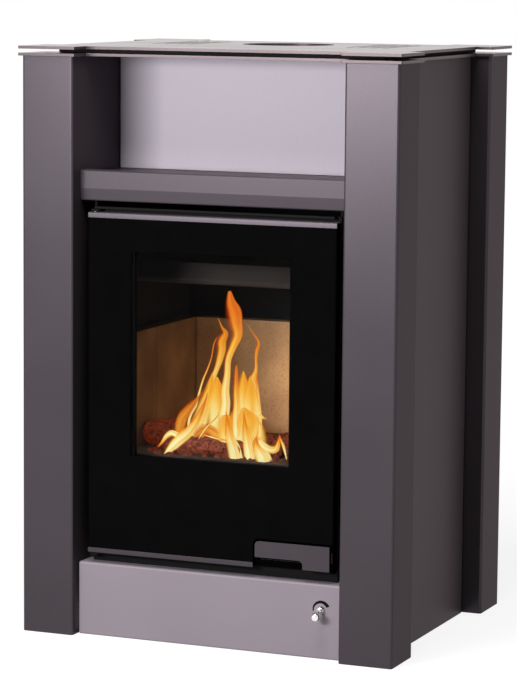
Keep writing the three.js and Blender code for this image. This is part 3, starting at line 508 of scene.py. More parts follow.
@dataclass(frozen=True)
class Fireclay(Finish):
    """Pressed fireclay board: pale tan, with dark grog specks, fine pits and a breath of soot.

    Attributes:
        colour: The clay's colour, sRGB hex.
        warm: Its second shade.
        speck: The grog.
        soot: The smoke on it.
        cloud: The pattern of the two shades.
        grog: The pattern of the specks and pits.
        smoke: The pattern of the soot.
    """

    name: str = "pressed_fireclay"
    colour: str = "e0bc90"
    warm: str = "cfa880"
    speck: str = "7d5a3c"
    soot: str = "6a5442"
    cloud: Grain = Grain(70.0, 3.0)
    grog: Grain = Grain(3.4, 3.0, 0.7)
    smoke: Grain = Grain(140.0)
    slot: str = "fireclay"

    def build(self, tree: bpy.types.NodeTree) -> None:
        """Builds the nodes.

        Args:
            tree: The material's tree.
        """
        ground = self.cloud.colours(tree, linear(self.colour), linear(self.warm))
        peaks = {"Value": self.grog.noise(tree), "From Min": 0.56, "From Max": 0.68, "To Max": 0.6}
        marks = add_node(tree, "ShaderNodeMapRange", peaks)
        mixed = {"data_type": "RGBA", 0: marks, 6: ground, 7: linear(self.speck)}
        specked = add_node(tree, "ShaderNodeMix", mixed).outputs[2]
        self.shader(
            tree,
            {
                "Base Color": self.smoke.colours(tree, specked, linear(self.soot), (0.0, 0.28)),
                "Roughness": 0.95,
                "Specular IOR Level": 0.2,
                "Normal": self.grog.bump(tree, 0.5, 0.5),
            },
        )


@dataclass(frozen=True)
class GlassCeramic(Finish):
    """Drawn glass ceramic, 4 mm and over: clear with a faint smoke tint, seen straight through.

    The pane lets light and sight through by its alpha, so that the lamps reach the firebox as they
    do through the real pane, and only a thin share of gloss stays on it.

    Attributes:
        smoke: Its tint, sRGB hex.
        haze: The pattern of the film that fires leave on it.
    """

    name: str = "glass_ceramic"
    smoke: str = "0d0c0c"
    haze: Grain = Grain(60.0)
    slot: str = "printed_glass"

    def build(self, tree: bpy.types.NodeTree) -> None:
        """Builds the nodes.

        Args:
            tree: The material's tree.
        """
        self.shader(
            tree,
            {
                "Base Color": linear(self.smoke),
                "Roughness": self.haze.between(tree, 0.02, 0.06),
                "Specular IOR Level": 0.3,
                "Alpha": self.haze.between(tree, 0.05, 0.07),
            },
        )


@dataclass(frozen=True)
class BurningBark(Finish):
    """Split firewood well alight: charred bark with dull red heat in its cracks.

    Attributes:
        char: The bark's darkest colour, sRGB hex.
        ash: Its lightest.
        heat: The glow in the cracks.
        crack_mm: How far the cracks are apart.
        glow: Strength of the light from them.
        bark: The pattern of the bark.
    """

    name: str = "burning_bark"
    char: str = "1c0a05"
    ash: str = "96533a"
    heat: str = "a0340f"
    crack_mm: float = 6.0
    glow: float = 0.45
    bark: Grain = Grain(7.0, 5.0, 0.75)
    slot: str = "fireclay"

    def build(self, tree: bpy.types.NodeTree) -> None:
        """Builds the nodes.

        Args:
            tree: The material's tree.
        """
        place = add_node(tree, "ShaderNodeTexCoord").outputs["Object"]
        cells = {"feature": "DISTANCE_TO_EDGE", "Vector": place, "Scale": 1000 / self.crack_mm}
        crack = add_node(tree, "ShaderNodeTexVoronoi", cells)
        near = {"Value": crack, "From Max": 0.16, "To Min": 1.0, "To Max": 0.08}
        hot = add_node(tree, "ShaderNodeMapRange", near)
        lit = {"data_type": "RGBA", 0: hot, 6: grey(0.0), 7: linear(self.heat)}
        self.shader(
            tree,
            {
                "Base Color": self.bark.colours(tree, linear(self.char), linear(self.ash), (-0.5, 1.5)),
                "Roughness": 0.95,
                "Emission Color": add_node(tree, "ShaderNodeMix", lit).outputs[2],
                "Emission Strength": self.glow,
                "Normal": self.bark.bump(tree, 0.8, 1.5),
            },
        )


@dataclass(frozen=True)
class Ember(Finish):
    """Glowing charcoal: orange through a skin of grey ash.

    Attributes:
        ash: The skin, sRGB hex.
        cool: The glow where the ash is thick.
        heat: The glow where it is thin.
        glow: Strength of the light.
        skin: The pattern of the ash.
    """

    name: str = "glowing_charcoal"
    ash: str = "3f2a22"
    cool: str = "1a0502"
    heat: str = "b4400e"
    glow: float = 0.45
    skin: Grain = Grain(9.0, 3.0, 0.6)
    slot: str = "fireclay"

    def build(self, tree: bpy.types.NodeTree) -> None:
        """Builds the nodes.

        Args:
            tree: The material's tree.
        """
        self.shader(
            tree,
            {
                "Base Color": linear(self.ash),
                "Roughness": 1.0,
                "Emission Color": self.skin.colours(tree, linear(self.cool), linear(self.heat)),
                "Emission Strength": self.glow,
            },
        )


@dataclass(frozen=True)
class Flame(Finish):
    """Burning wood gas: a soft orange rim, a yellow body and a cream heart, streaked along its rise.

    The sheet's own map gives the way along the tongue as u and the way across it as v.

    Attributes:
        rim: Colour of the coolest gas, sRGB hex.
        body: Colour of most of the tongue.
        heart: Colour of the hottest gas.
        glow: Strength of the light.
        cover: How much the heart hides what is behind it, from 0 to 1.
        tip: Heat at the tip, as a share of the heat at the root.
        streaks: About how many streaks lie side by side.
        soft: The cover is full where the sheet's own heat is this, and falls to 0 at the rim.
        ragged: How far the streaks eat into the heat.
    """

    name: str
    rim: str
    body: str
    heart: str
    glow: float
    cover: float
    tip: float = 0.3
    streaks: float = 4.2
    soft: float = 0.5
    ragged: float = 0.2
    slot: str = "fireclay"

    def build(self, tree: bpy.types.NodeTree) -> None:
        """Builds the nodes.

        Args:
            tree: The material's tree.
        """
        gas = self.gas(tree)
        fade = {"interpolation_type": "SMOOTHSTEP", "Value": self.way(tree, "X"), "To Min": 1.0}
        span = {"From Min": 0.2, "From Max": 0.9, "To Max": self.tip}
        cooling = add_node(tree, "ShaderNodeMapRange", fade | span)
        heat = add_node(tree, "ShaderNodeMath", {"operation": "MULTIPLY", 0: gas, 1: cooling})
        colour = add_node(tree, "ShaderNodeValToRGB", {"Fac": heat})
        stops = colour.color_ramp.elements
        stops.new(0.5)
        for stop, place, code in zip(stops, (0.06, 0.38, 0.9), (self.rim, self.body, self.heart)):
            stop.position = place
            stop.color = linear(code)
        cover = {"Value": gas, "From Max": self.soft, "To Max": self.cover}
        self.shader(
            tree,
            {
                "Base Color": grey(0.0),
                "Roughness": 1.0,
                "Specular IOR Level": 0.0,
                "Emission Color": colour,
                "Emission Strength": self.glow,
                "Alpha": add_node(tree, "ShaderNodeMapRange", cover),
            },
        )

    def way(self, tree: bpy.types.NodeTree, axis: str) -> bpy.types.NodeSocket:
        """The way along the tongue for X and the way across it for Y, from 0 to 1."""
        place = add_node(tree, "ShaderNodeTexCoord").outputs["UV"]
        return add_node(tree, "ShaderNodeSeparateXYZ", {"Vector": place}).outputs[axis]

    def gas(self, tree: bpy.types.NodeTree) -> bpy.types.Node:
        """How thick the gas is: 0 at the torn rims, 1 on the middle line, and thin at the root.

        Args:
            tree: The material's tree.

        Returns:
            The node that gives the thickness.
        """
        folded = {"operation": "PINGPONG", 0: self.way(tree, "Y"), 1: 0.5}
        across = add_node(tree, "ShaderNodeMath", folded)  # 0 at both rims, 0.5 on the middle line
        rise = {"interpolation_type": "SMOOTHSTEP", "Value": across, "From Max": 0.42}
        middle = add_node(tree, "ShaderNodeMapRange", rise)
        place = add_node(tree, "ShaderNodeTexCoord").outputs["UV"]
        drawn = add_node(tree, "ShaderNodeMapping", {"Vector": place, "Scale": (2.2, self.streaks, 1.0)})
        streak = add_node(tree, "ShaderNodeTexNoise", {"Vector": drawn, "Scale": 1.0, "Detail": 0.6})
        start, end = NOISE_SPAN
        spread = {"Value": streak, "From Min": start, "From Max": end, "To Min": -0.5, "To Max": 0.5}
        uneven = add_node(tree, "ShaderNodeMapRange", spread)
        tearing = {"operation": "MULTIPLY_ADD", 0: uneven, 1: self.ragged, 2: middle}
        torn = add_node(tree, "ShaderNodeMath", tearing)
        lower = {"Value": self.way(tree, "X"), "From Max": 0.08, "To Min": 0.3}
        root = add_node(tree, "ShaderNodeMapRange", lower)
        return add_node(tree, "ShaderNodeMath", {"operation": "MULTIPLY", 0: torn, 1: root})


class Heat(Enum):
    """How hot a tongue of flame burns."""

    BRIGHT = Flame("bright_wood_flame", "dc4f07", "ffc244", "fff6b0", 1.06, 0.9, 0.16, soft=0.7)
    WARM = Flame("orange_wood_flame", "cc4a08", "ffac30", "ffe880", 1.02, 0.82, 0.25, soft=0.8)
    VEIL = Flame("soft_flame_body", "ef8114", "ffbc3a", "fff098", 1.03, 0.96, 0.3, 2.0, 0.95)
    COOL = Flame("dark_orange_wood_flame", "a03405", "e06a0e", "f9a838", 0.98, 0.62, 0.5)


class Paint(Enum):
    """The stove paints of the casing: one charcoal and one silver paint, and lighter and darker copies of
    them whose colour is painted light and shade: the top, the rail, the side panels and the strip over the
    door painted lighter as if lit, and the plinth painted darker than the niche's silver as if in shade.
    """

    CHARCOAL = StovePaint("charcoal_stove_paint", "4b464b", 0.4, 0.31, 0.31)
    # painted light: the top plates' charcoal is lighter than the pillars', as if lit from above
    TOP = StovePaint("charcoal_top_paint", "534b4e", 0.36, 0.36, 0.2, 0.3, "ffe6e6")
    # painted light: the rail's charcoal is a little lighter than the pillars', as if better lit
    RAIL = StovePaint("charcoal_rail_paint", "4f4a4f", 0.34, 0.36, 0.36, 0.1)
    # painted light: the side panels' charcoal is much lighter, as if a lamp lit the shaded sides
    SIDE = StovePaint("charcoal_side_paint", "70666b", 0.14, 0.42, 0.42)
    # painted light: the strip over the door is lighter than the bottom strip, in place of the light that the
    # rail shades from it
    STRIP = StovePaint("charcoal_strip_paint", "5c565c", 0.36, 0.34, 0.34)
    SILVER = StovePaint("silver_stove_paint", "c6bfca", 0.04, 0.45, 0.45, contrast=0.03, slot="silver_paint")
    # painted shade: the plinth's silver is darker than the niche's, the same paint as if in shade
    PLINTH = StovePaint("silver_plinth_paint", "9e959e", 0.06, 0.42, 0.42, contrast=0.03, slot="silver_paint")


class Metal(Enum):
    """Black plate, zinc on turned and cut pieces, and chrome on what the hand and the eye meet."""

    BLACK = HeatBlack()
    ZINC = PlatedSteel("zinc_plated_steel", "a2a4a6", "83868a", roughness=(0.32, 0.48), slot="zinc_steel")
    CHROME = PlatedSteel("polished_chrome", "efeaea", "dcd7d7", roughness=(0.04, 0.09), slot="chrome")


def dress(
    piece: bpy.types.Object, finish: Finish, body: str, stands_for: tuple[str, ...] = ()
) -> bpy.types.Object:
    """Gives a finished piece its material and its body.

    Args:
        piece: The finished piece.
        finish: Its finish.
        body: The body that it rides on.
        stands_for: The solids that it shows in place of.

    Returns:
        The piece.
    """
    piece.data.materials.clear()
    piece.data.materials.append(finish.material())
    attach(piece, body)
    if stands_for:
        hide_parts(*stands_for)
    log.info("%s on %s, %d faces", piece.name, body, len(piece.data.polygons))
    return piece


# ---------------------------------------------------------------- edges of sheet and board
@dataclass(frozen=True)
class EdgeRadius:
    """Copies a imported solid, merges its loose faces and rounds its sharp edges.

    Attributes:
        width_mm: The radius that cutting, folding or casting leaves on the edge.
        segments: Faces across it.
        sharp_deg: Edges sharper than this are rounded.
        flat_deg: Faces that meet at less than this become one.
    """

    width_mm: float
    segments: int = 2
    sharp_deg: float = 40.0
    flat_deg: float = 0.4

    def copy(self, frame: dict, node: str, name: str) -> bpy.types.Object:
        """Makes the rounded copy.

        Args:
            node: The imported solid's node.
            name: The piece's name.

        Returns:
            The piece, a plain mesh.
        """
        bm = merged_solid(frame, node)
        flat = math.radians(self.flat_deg)
        bmesh.ops.dissolve_limit(bm, angle_limit=flat, verts=bm.verts, edges=bm.edges)
        made = from_bmesh(name, bm, smooth=True)
        bevel = made.modifiers.new("edge", "BEVEL")
        bevel.width = self.width_mm * MM
        bevel.segments = self.segments
        bevel.limit_method = "ANGLE"
        bevel.angle_limit = math.radians(self.sharp_deg)
        bevel.miter_outer = "MITER_ARC"
        weighted = made.modifiers.new("flats", "WEIGHTED_NORMAL")
        weighted.weight = 100
        return baked(made)


@dataclass
class SubAssembly:
    """A part of the stove whose solids keep their shape and get edges and finishes.

    Attributes:
        body: The body that its pieces ride on.
    """

    frame: dict
    body: str = "stove"

    def finish_solids(self, nodes: tuple[str, ...], made: str, finish: Finish, edge: EdgeRadius) -> None:
        """Copies solids with rounded edges and dresses them.

        Args:
            nodes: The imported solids' nodes.
            made: How the real pieces are made, added to the nodes' names.
            finish: Their finish.
            edge: Their edge radius.
        """
        for node in nodes:
            dress(edge.copy(self.frame, node, f"{node}_{made}"), finish, self.body, (node,))


# ---------------------------------------------------------------- what repeats
class Pattern:
    """A Geometry Nodes tree that makes what repeats, with named inputs for its sizes.

    Attributes:
        tree: The tree.
        sockets: The identifiers of its inputs by name.
        given: The sockets that give its inputs.
    """

    def __init__(self, name: str, inputs: dict[str, str]) -> None:
        """Starts the tree.

        Args:
            name: The tree's name.
            inputs: The kind of each input by its name, the mesh that the tree starts from first.
        """
        self.tree = bpy.data.node_groups.new(name, "GeometryNodeTree")
        add_socket = self.tree.interface.new_socket
        add_socket(name="Geometry", in_out="OUTPUT", socket_type="NodeSocketGeometry")
        self.sockets = {
            label: add_socket(name=label, in_out="INPUT", socket_type=f"NodeSocket{kind}").identifier
            for label, kind in inputs.items()
        }
        self.given = add_node(self.tree, "NodeGroupInput").outputs

    def end(self, shape: bpy.types.Node, finish: Finish) -> None:
        """Ends the tree with real geometry that wears the finish.

        Args:
            shape: The node that makes the geometry.
            finish: The finish.
        """
        real = add_node(self.tree, "GeometryNodeRealizeInstances", {"Geometry": shape})
        wearing = {"Geometry": real, "Material": finish.material()}
        worn = add_node(self.tree, "GeometryNodeSetMaterial", wearing)
        add_node(self.tree, "NodeGroupOutput", {"Geometry": worn})

    def run(self, source: bpy.types.Object, sizes: dict[str, object]) -> bpy.types.Object:
        """Runs the tree on a mesh.

        Args:
            source: The object that holds the mesh; it is removed.
            sizes: The inputs by name.

        Returns:
            The plain mesh that the tree made.
        """
        modifier = source.modifiers.new(self.tree.name, "NODES")
        modifier.node_group = self.tree
        for label, value in sizes.items():
            modifier[self.sockets[label]] = value
        return baked(source)


@dataclass
class PanHeadScrews:
    """Pan-head screws with a cross recess, set on a list of places by one Geometry Nodes tree.

    Attributes:
        radius_mm: Radius of a head.
        height_mm: Its height.
        steps: Points round it.
        waist: The recess is this share of its width between the arms of the cross.
        seed: Sets how far each screw is turned.
    """

    radius_mm: float = 3.6
    height_mm: float = 2.0
    steps: int = 20
    waist: float = 0.45
    seed: int = 7

    def head(self) -> bpy.types.Object:
        """One head standing up +Z: a low dome with a cross recess cut down into it.

        Returns:
            The head, removed when the screws are set.
        """
        dome = [(1.0, 0.0), (1.0, 0.25), (0.93, 0.55), (0.74, 0.84), (0.5, 0.97), (0.42, 1.0)]
        cross = [(0.3, 0.97), (0.12, 0.45)]
        bm = bmesh.new()
        rings = []
        for share, rise in dome + cross:
            ring = []
            for k in range(self.steps):
                angle = 2 * math.pi * k / self.steps
                radius = self.radius_mm * share
                if (share, rise) in cross:
                    radius *= self.waist + (1 - self.waist) * abs(math.cos(2 * angle)) ** 3
                place = (radius * math.cos(angle), radius * math.sin(angle), self.height_mm * rise)
                ring.append(bm.verts.new(Vector(place) * MM))
            rings.append(ring)
        loft(bm, rings)
        bm.faces.new(rings[-1])
        bm.faces.new(list(reversed(rings[0])))
        return from_bmesh("screw_head", bm, smooth=True)

    def pattern(self, finish: Finish) -> Pattern:
        """Builds the tree that sets a head on every vertex, turned to the vertex's facing.

        Args:
            finish: The finish of the heads.

        Returns:
            The tree with its named inputs.
        """
        inputs = {"Places": "Geometry", "Head": "Object", "Size": "Float", "Seed": "Int"}
        made = Pattern("screws_on_places", inputs)
        tree, given = made.tree, made.given
        head = add_node(tree, "GeometryNodeObjectInfo", {"Object": given["Head"]})
        stored = {"data_type": "FLOAT_VECTOR", "Name": "facing"}
        facing = add_node(tree, "GeometryNodeInputNamedAttribute", stored)
        upright = {"axis": "Z", "Vector": facing.outputs["Attribute"]}
        turned = add_node(tree, "FunctionNodeAlignRotationToVector", upright)
        any_turn = {"data_type": "FLOAT", "Min": 0.0, "Max": math.tau, "Seed": given["Seed"]}
        angle = add_node(tree, "FunctionNodeRandomValue", any_turn).outputs[1]
        spin = add_node(tree, "ShaderNodeCombineXYZ", {"Z": angle})
        local = add_node(tree, "FunctionNodeEulerToRotation", {0: spin})
        together = {"rotation_space": "LOCAL", "Rotation": turned, "Rotate By": local}
        both = add_node(tree, "FunctionNodeRotateRotation", together)
        size = add_node(tree, "ShaderNodeCombineXYZ", {axis: given["Size"] for axis in range(3)})
        placing = {"Points": given["Places"], "Instance": head.outputs["Geometry"], "Scale": size}
        made.end(add_node(tree, "GeometryNodeInstanceOnPoints", placing | {"Rotation": both}), finish)
        return made

    def build(self, name: str, places: list[tuple[Vector, Vector]], finish: Finish, body: str) -> None:
        """Sets the screws and dresses them as one piece.

        Args:
            name: The piece's name.
            places: Where each head sits, and which way it faces.
            finish: Their finish.
            body: The body that they ride on.
        """
        mesh = bpy.data.meshes.new(name)
        mesh.from_pydata([tuple(place) for place, _ in places], [], [])
        facing = mesh.attributes.new("facing", "FLOAT_VECTOR", "POINT")
        facing.data.foreach_set("vector", [part for _, way in places for part in way])
        source = mesh_object(name, mesh)
        head = self.head()
        made = self.pattern(finish).run(source, {"Head": head, "Size": 1.0, "Seed": self.seed})
        bpy.data.objects.remove(head)
        dress(made, finish, body)


# ---------------------------------------------------------------- casing
@dataclass
class Casing(SubAssembly):
    """Folded pillars, recessed side and back panels, plinth and the rail over the door.

    Attributes:
        fold: Edge radius of the folded sheets.
        screw_inset_mm: How far the back panel's screws are in from its edges.
        screw_rows: Screws along each of its sides.
    """

    fold: EdgeRadius = EdgeRadius(0.45)
    screw_inset_mm: float = 14.0
    screw_rows: int = 5

    def build(self) -> None:
        """Finishes every folded sheet of the casing."""
        pillars = tuple(f"pillar_{corner}" for corner in CORNERS)
        sides = ("side_panel_left", "side_panel_right")
        self.finish_solids(pillars, "folded", Paint.CHARCOAL.value, self.fold)
        self.finish_solids(sides, "folded", Paint.SIDE.value, self.fold)
        self.finish_solids(("front_rail",), "folded", Paint.RAIL.value, self.fold)
        self.finish_solids(("plinth_panel",), "folded", Paint.PLINTH.value, self.fold)
        self.finish_solids(("back_panel",), "folded", Metal.BLACK.value, self.fold)
        self.back_screws()

    def back_screws(self) -> None:
        """Pan-head screws along the edges of the back panel."""
        low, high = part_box("back_panel")
        inset = self.screw_inset_mm * MM
        pitch = (high.z - low.z - 2 * inset) / (self.screw_rows - 1)
        places = []
        for row in range(self.screw_rows):
            for x in (low.x + inset, high.x - inset):
                places.append((Vector((x, high.y, low.z + inset + row * pitch)), REARWARD))
        PanHeadScrews().build("back_panel_screws", places, Metal.ZINC.value, self.body)


@dataclass
class Niche(SubAssembly):
    """The warming niche: its floor, sides and back."""

    fold: EdgeRadius = EdgeRadius(0.4)

    def build(self) -> None:
        """Finishes the niche's sheets."""
        charcoal = ("niche_floor", "niche_side_left", "niche_side_right")
        self.finish_solids(charcoal, "folded", Paint.CHARCOAL.value, self.fold)
        self.finish_solids(("niche_back",), "sheet", Paint.SILVER.value, self.fold)


@dataclass
class TopPlates(SubAssembly):
    """The two laser-cut top plates, the black frame between them and the flue collar."""

    cut_edge: EdgeRadius = EdgeRadius(0.5)
    rolled_edge: EdgeRadius = EdgeRadius(0.5, sharp_deg=50.0)

    def build(self) -> None:
        """Finishes the plates, the frame and the collar."""
        self.finish_solids(("top_plate_lower", "top_plate_upper"), "cut", Paint.TOP.value, self.cut_edge)
        self.finish_solids(("top_spacer_frame",), "cut", Metal.BLACK.value, self.cut_edge)
        self.finish_solids(("flue_collar",), "rolled", Metal.BLACK.value, self.rolled_edge)


# ---------------------------------------------------------------- firebox
@dataclass
class Firebox(SubAssembly):
    """The welded body, its baffle and deflector, the fireclay lining, the grate and the guard."""

    plate: EdgeRadius = EdgeRadius(0.6)
    board: EdgeRadius = EdgeRadius(1.2, 3)
    casting: EdgeRadius = EdgeRadius(0.9)

    def build(self) -> None:
        """Finishes the welded plates, the boards and the castings."""
        shell = tuple(f"firebox_{wall}" for wall in ("side_left", "side_right", "back", "roof", "floor"))
        welded = shell + ("hearth_plate", "front_frame", "airwash_deflector")
        self.finish_solids(welded, "welded", Metal.BLACK.value, self.plate)
        painted_lit_black = HeatBlack("scaled_heat_black", "3d3836", "484240")  # a lighter copy of the black paint: painted light on the baffle, which sits in the firebox's shade
        self.finish_solids(("baffle_plate",), "folded", painted_lit_black, self.plate)
        # painted shade: a darker copy of the fireclay for the side walls, which the key light through the
        # window does not reach
        shaded_fireclay = Fireclay("smoked_fireclay", "9a7b53", "7d6041", "32210f", "3f2f20")
        ashen = Fireclay("ash_strewn_fireclay", "54473d", "43372f", "1f1612", "2a221d")
        walls = tuple(f"lining_{side}_{end}" for side in ("left", "right") for end in ("front", "rear"))
        self.finish_solids(walls, "board", shaded_fireclay, self.board)
        self.finish_solids(("lining_back",), "board", Fireclay(), self.board)
        self.finish_solids(("hearth_slab",), "board", ashen, self.board)
        self.finish_solids(("grate",), "cast", CastIron(), self.casting)
        self.finish_solids(("log_guard",), "folded", Metal.BLACK.value, self.plate)


@dataclass
class Base(SubAssembly):
    """The cradle under the firebox, the levelling feet and the air box with its valve plate."""

    sheet: EdgeRadius = EdgeRadius(0.4)

    def build(self) -> None:
        """Finishes the pieces under the firebox."""
        feet = tuple(f"foot_{corner}" for corner in CORNERS)
        self.finish_solids(("base_cradle",), "folded", Metal.BLACK.value, self.sheet)
        self.finish_solids(("air_box",), "welded", Metal.BLACK.value, self.sheet)
        self.finish_solids(("air_valve_plate",), "cut", Metal.ZINC.value, self.sheet)
        self.finish_solids(feet, "turned", Metal.ZINC.value, self.sheet)


# ---------------------------------------------------------------- air control
@dataclass
class AirControl(SubAssembly):
    """The chrome ball lever, its spindle, shutter and bush, and the arc printed round it.

    Attributes:
        turned: Edge radius of the turned pieces.
        axis_mm: X and Z of the spindle.
        arc_radius_mm: Middle line of the printed arc.
        arc_from_deg: Its thin end, round the axis from +X towards +Z.
        arc_to_deg: Its thick end.
        thin_mm: Width at the thin end.
        thick_mm: Width at the thick end.
        swell: Below 1, the arc widens faster near its thin end.
        ink_mm: How far the ink stands proud of the plinth, and how far it reaches into it.
        steps: Stretches along the arc.
    """

    turned: EdgeRadius = EdgeRadius(0.25, sharp_deg=50.0)
    axis_mm: tuple[float, float] = (208.5, 84.0)
    arc_radius_mm: float = 14.0
    arc_from_deg: float = 190.0
    arc_to_deg: float = 27.0
    thin_mm: float = 1.8
    thick_mm: float = 6.4
    swell: float = 0.8
    ink_mm: tuple[float, float] = (0.1, 0.05)
    steps: int = 48

    def build(self) -> None:
        """Finishes the bush, prints the arc and finishes the moving pieces."""
        self.finish_solids(("spindle_bush",), "turned", Metal.CHROME.value, self.turned)
        self.print_arc()
        moving = SubAssembly(self.frame, "air_control")
        moving.finish_solids(("air_spindle",), "turned", Metal.ZINC.value, self.turned)
        moving.finish_solids(("air_shutter",), "cut", Metal.ZINC.value, self.turned)
        moving.finish_solids(("air_knob",), "turned", Metal.CHROME.value, self.turned)

    def print_arc(self) -> None:
        """Makes the tapered arc of ink on the face of the plinth."""
        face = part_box("plinth_panel")[0].y
        front, back = face - self.ink_mm[0] * MM, face + self.ink_mm[1] * MM
        bm = bmesh.new()
        rings = []
        for k in range(self.steps + 1):
            share = k / self.steps
            angle = math.radians(self.arc_from_deg + (self.arc_to_deg - self.arc_from_deg) * share)
            width = self.thin_mm + (self.thick_mm - self.thin_mm) * share**self.swell
            ring = []
            for side, y in ((-0.5, front), (0.5, front), (0.5, back), (-0.5, back)):
                radius = self.arc_radius_mm + side * width
                x = (self.axis_mm[0] + radius * math.cos(angle)) * MM
                z = (self.axis_mm[1] + radius * math.sin(angle)) * MM
                ring.append(bm.verts.new((x, y, z)))
            rings.append(ring)
        loft(bm, rings)
        for ring in (rings[0], rings[-1]):
            bm.faces.new(ring)
        bmesh.ops.recalc_face_normals(bm, faces=bm.faces)
        dress(from_bmesh("air_scale_arc", bm), PadPrint(), self.body)


# ---------------------------------------------------------------- door
@dataclass
class Door(SubAssembly):
    """The glazed door: cast frame, printed pane, edge strips, gasket rope, clips and pins.

    Attributes:
        body: The body that its pieces ride on.
        window_mm: The clear window's lowest X and Z and highest X and Z.
        print_mm: How far the enamel stands proud of the pane.
        clip_x_mm: How far the clips are from the middle.
        clip_top_mm: Height of the upper clips' screws.
        clip_low_mm: Height of the lower clips' screws.
    """

    body: str = "door"
    window_mm: tuple[float, float, float, float] = (-148.0, 321.0, 148.0, 672.0)
    print_mm: float = 0.02
    clip_x_mm: float = 120.0
    clip_top_mm: float = 705.0
    clip_low_mm: float = 288.0

    def build(self) -> None:
        """Finishes the door's pieces."""
        shadow = HeatBlack("deep_heat_black", "060607", "090909", gloss=0.0)  # painted shadow: a darker, glossless copy of the black paint for the line of shade round the glass
        strip_edge, pin_edge = EdgeRadius(0.3), EdgeRadius(0.2, 1, 50.0)
        self.finish_solids(("door_frame",), "cast", shadow, EdgeRadius(0.5))
        self.finish_solids(("door_strip_top",), "folded", Paint.STRIP.value, strip_edge)
        self.finish_solids(("door_strip_bottom",), "folded", Paint.CHARCOAL.value, strip_edge)
        self.finish_solids(("handle_pivot_pin",), "drawn", Metal.ZINC.value, pin_edge)
        self.finish_solids(("door_glass",), "pane", GlassCeramic(), EdgeRadius(0.35))
        self.border()
        self.rope()
        self.clips()

    def border(self) -> None:
        """The enamel round the window, on the front of the pane."""
        bm = merged_solid(self.frame, "door_glass")
        front = min(v.co.y for v in bm.verts)
        bmesh.ops.delete(bm, geom=[f for f in bm.faces if f.normal.y > -0.9], context="FACES")
        bmesh.ops.delete(bm, geom=[v for v in bm.verts if not v.link_faces], context="VERTS")
        x0, z0, x1, z1 = (value * MM for value in self.window_mm)
        for point, normal in (
            ((x0, 0, 0), (1, 0, 0)),
            ((x1, 0, 0), (1, 0, 0)),
            ((0, 0, z0), (0, 0, 1)),
            ((0, 0, z1), (0, 0, 1)),
        ):
            everything = bm.verts[:] + bm.edges[:] + bm.faces[:]
            bmesh.ops.bisect_plane(bm, geom=everything, dist=1e-7, plane_co=point, plane_no=normal)
        clear = []
        for face in bm.faces:
            middle = face.calc_center_median()
            if x0 < middle.x < x1 and z0 < middle.z < z1:
                clear.append(face)
        bmesh.ops.delete(bm, geom=clear, context="FACES")
        for vert in bm.verts:
            vert.co.y = front - self.print_mm * MM
        dress(from_bmesh("door_glass_border", bm), FiredEnamel(), self.body)

    def rope(self) -> None:
        """The gasket rope, knitted: a tube along the groove whose skin bulges in slanting rows."""
        low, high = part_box("door_gasket")
        made = KnittedRope((high.y - low.y) / 2).build("door_gasket_rope", low, high)
        dress(made, GlassRope(), self.body, ("door_gasket",))

    def clips(self) -> None:
        """Four spring clips with screws that hold the pane against the frame from behind."""
        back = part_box("door_frame")[1].y
        screws = []
        for side, x in (("left", -self.clip_x_mm), ("right", self.clip_x_mm)):
            for end, z, reach in (("top", self.clip_top_mm, -1), ("low", self.clip_low_mm, 1)):
                clip = SpringClip(Vector((x * MM, back, z * MM)), reach)
                dress(clip.build(f"glass_clip_{side}_{end}"), Metal.ZINC.value, self.body)
                screws.append((clip.screw + REARWARD * clip.thick_mm * MM, REARWARD))
        PanHeadScrews().build("glass_clip_screws", screws, Metal.ZINC.value, self.body)


@dataclass
class SpringClip:
    """A flat spring clip screwed to the back of the door frame.

    Attributes:
        screw: Where its screw goes into the frame, in metres.
        reach: 1 where it reaches up to the window and -1 where it reaches down.
        width_mm: Its width.
        thick_mm: Thickness of the spring steel.
        edge_mm: Its edge radius.
        bends_mm: Its bends: how far each is from the screw, and how far it lifts off the frame.
    """

    screw: Vector
    reach: int
    width_mm: float = 16.0
    thick_mm: float = 0.8
    edge_mm: float = 0.2
    bends_mm: tuple[tuple[float, float], ...] = ((-9, 0), (0, 0), (8, 0), (14, 0.6), (22, 0.2), (26, 0.9))

    def build(self, name: str) -> bpy.types.Object:
        """Makes the clip, a plain mesh of that name.

        Args:
            name: The piece's name.

        Returns:
            The clip, a plain mesh.
        """
        half, thick = self.width_mm / 2, self.thick_mm
        bm = bmesh.new()
        rings = []
        for along, lift in self.bends_mm:
            ring = []
            for side, depth in ((-half, 0.0), (-half, thick), (half, thick), (half, 0.0)):
                place = Vector((side, depth + lift, self.reach * along))
                ring.append(bm.verts.new(self.screw + place * MM))
            rings.append(ring)
        loft(bm, rings)
        for ring in (rings[0], rings[-1]):
            bm.faces.new(ring)
        bmesh.ops.recalc_face_normals(bm, faces=bm.faces)
        made = from_bmesh(name, bm)
        bevel = made.modifiers.new("edge", "BEVEL")
        bevel.width = self.edge_mm * MM
        bevel.segments = 2
        return baked(made)


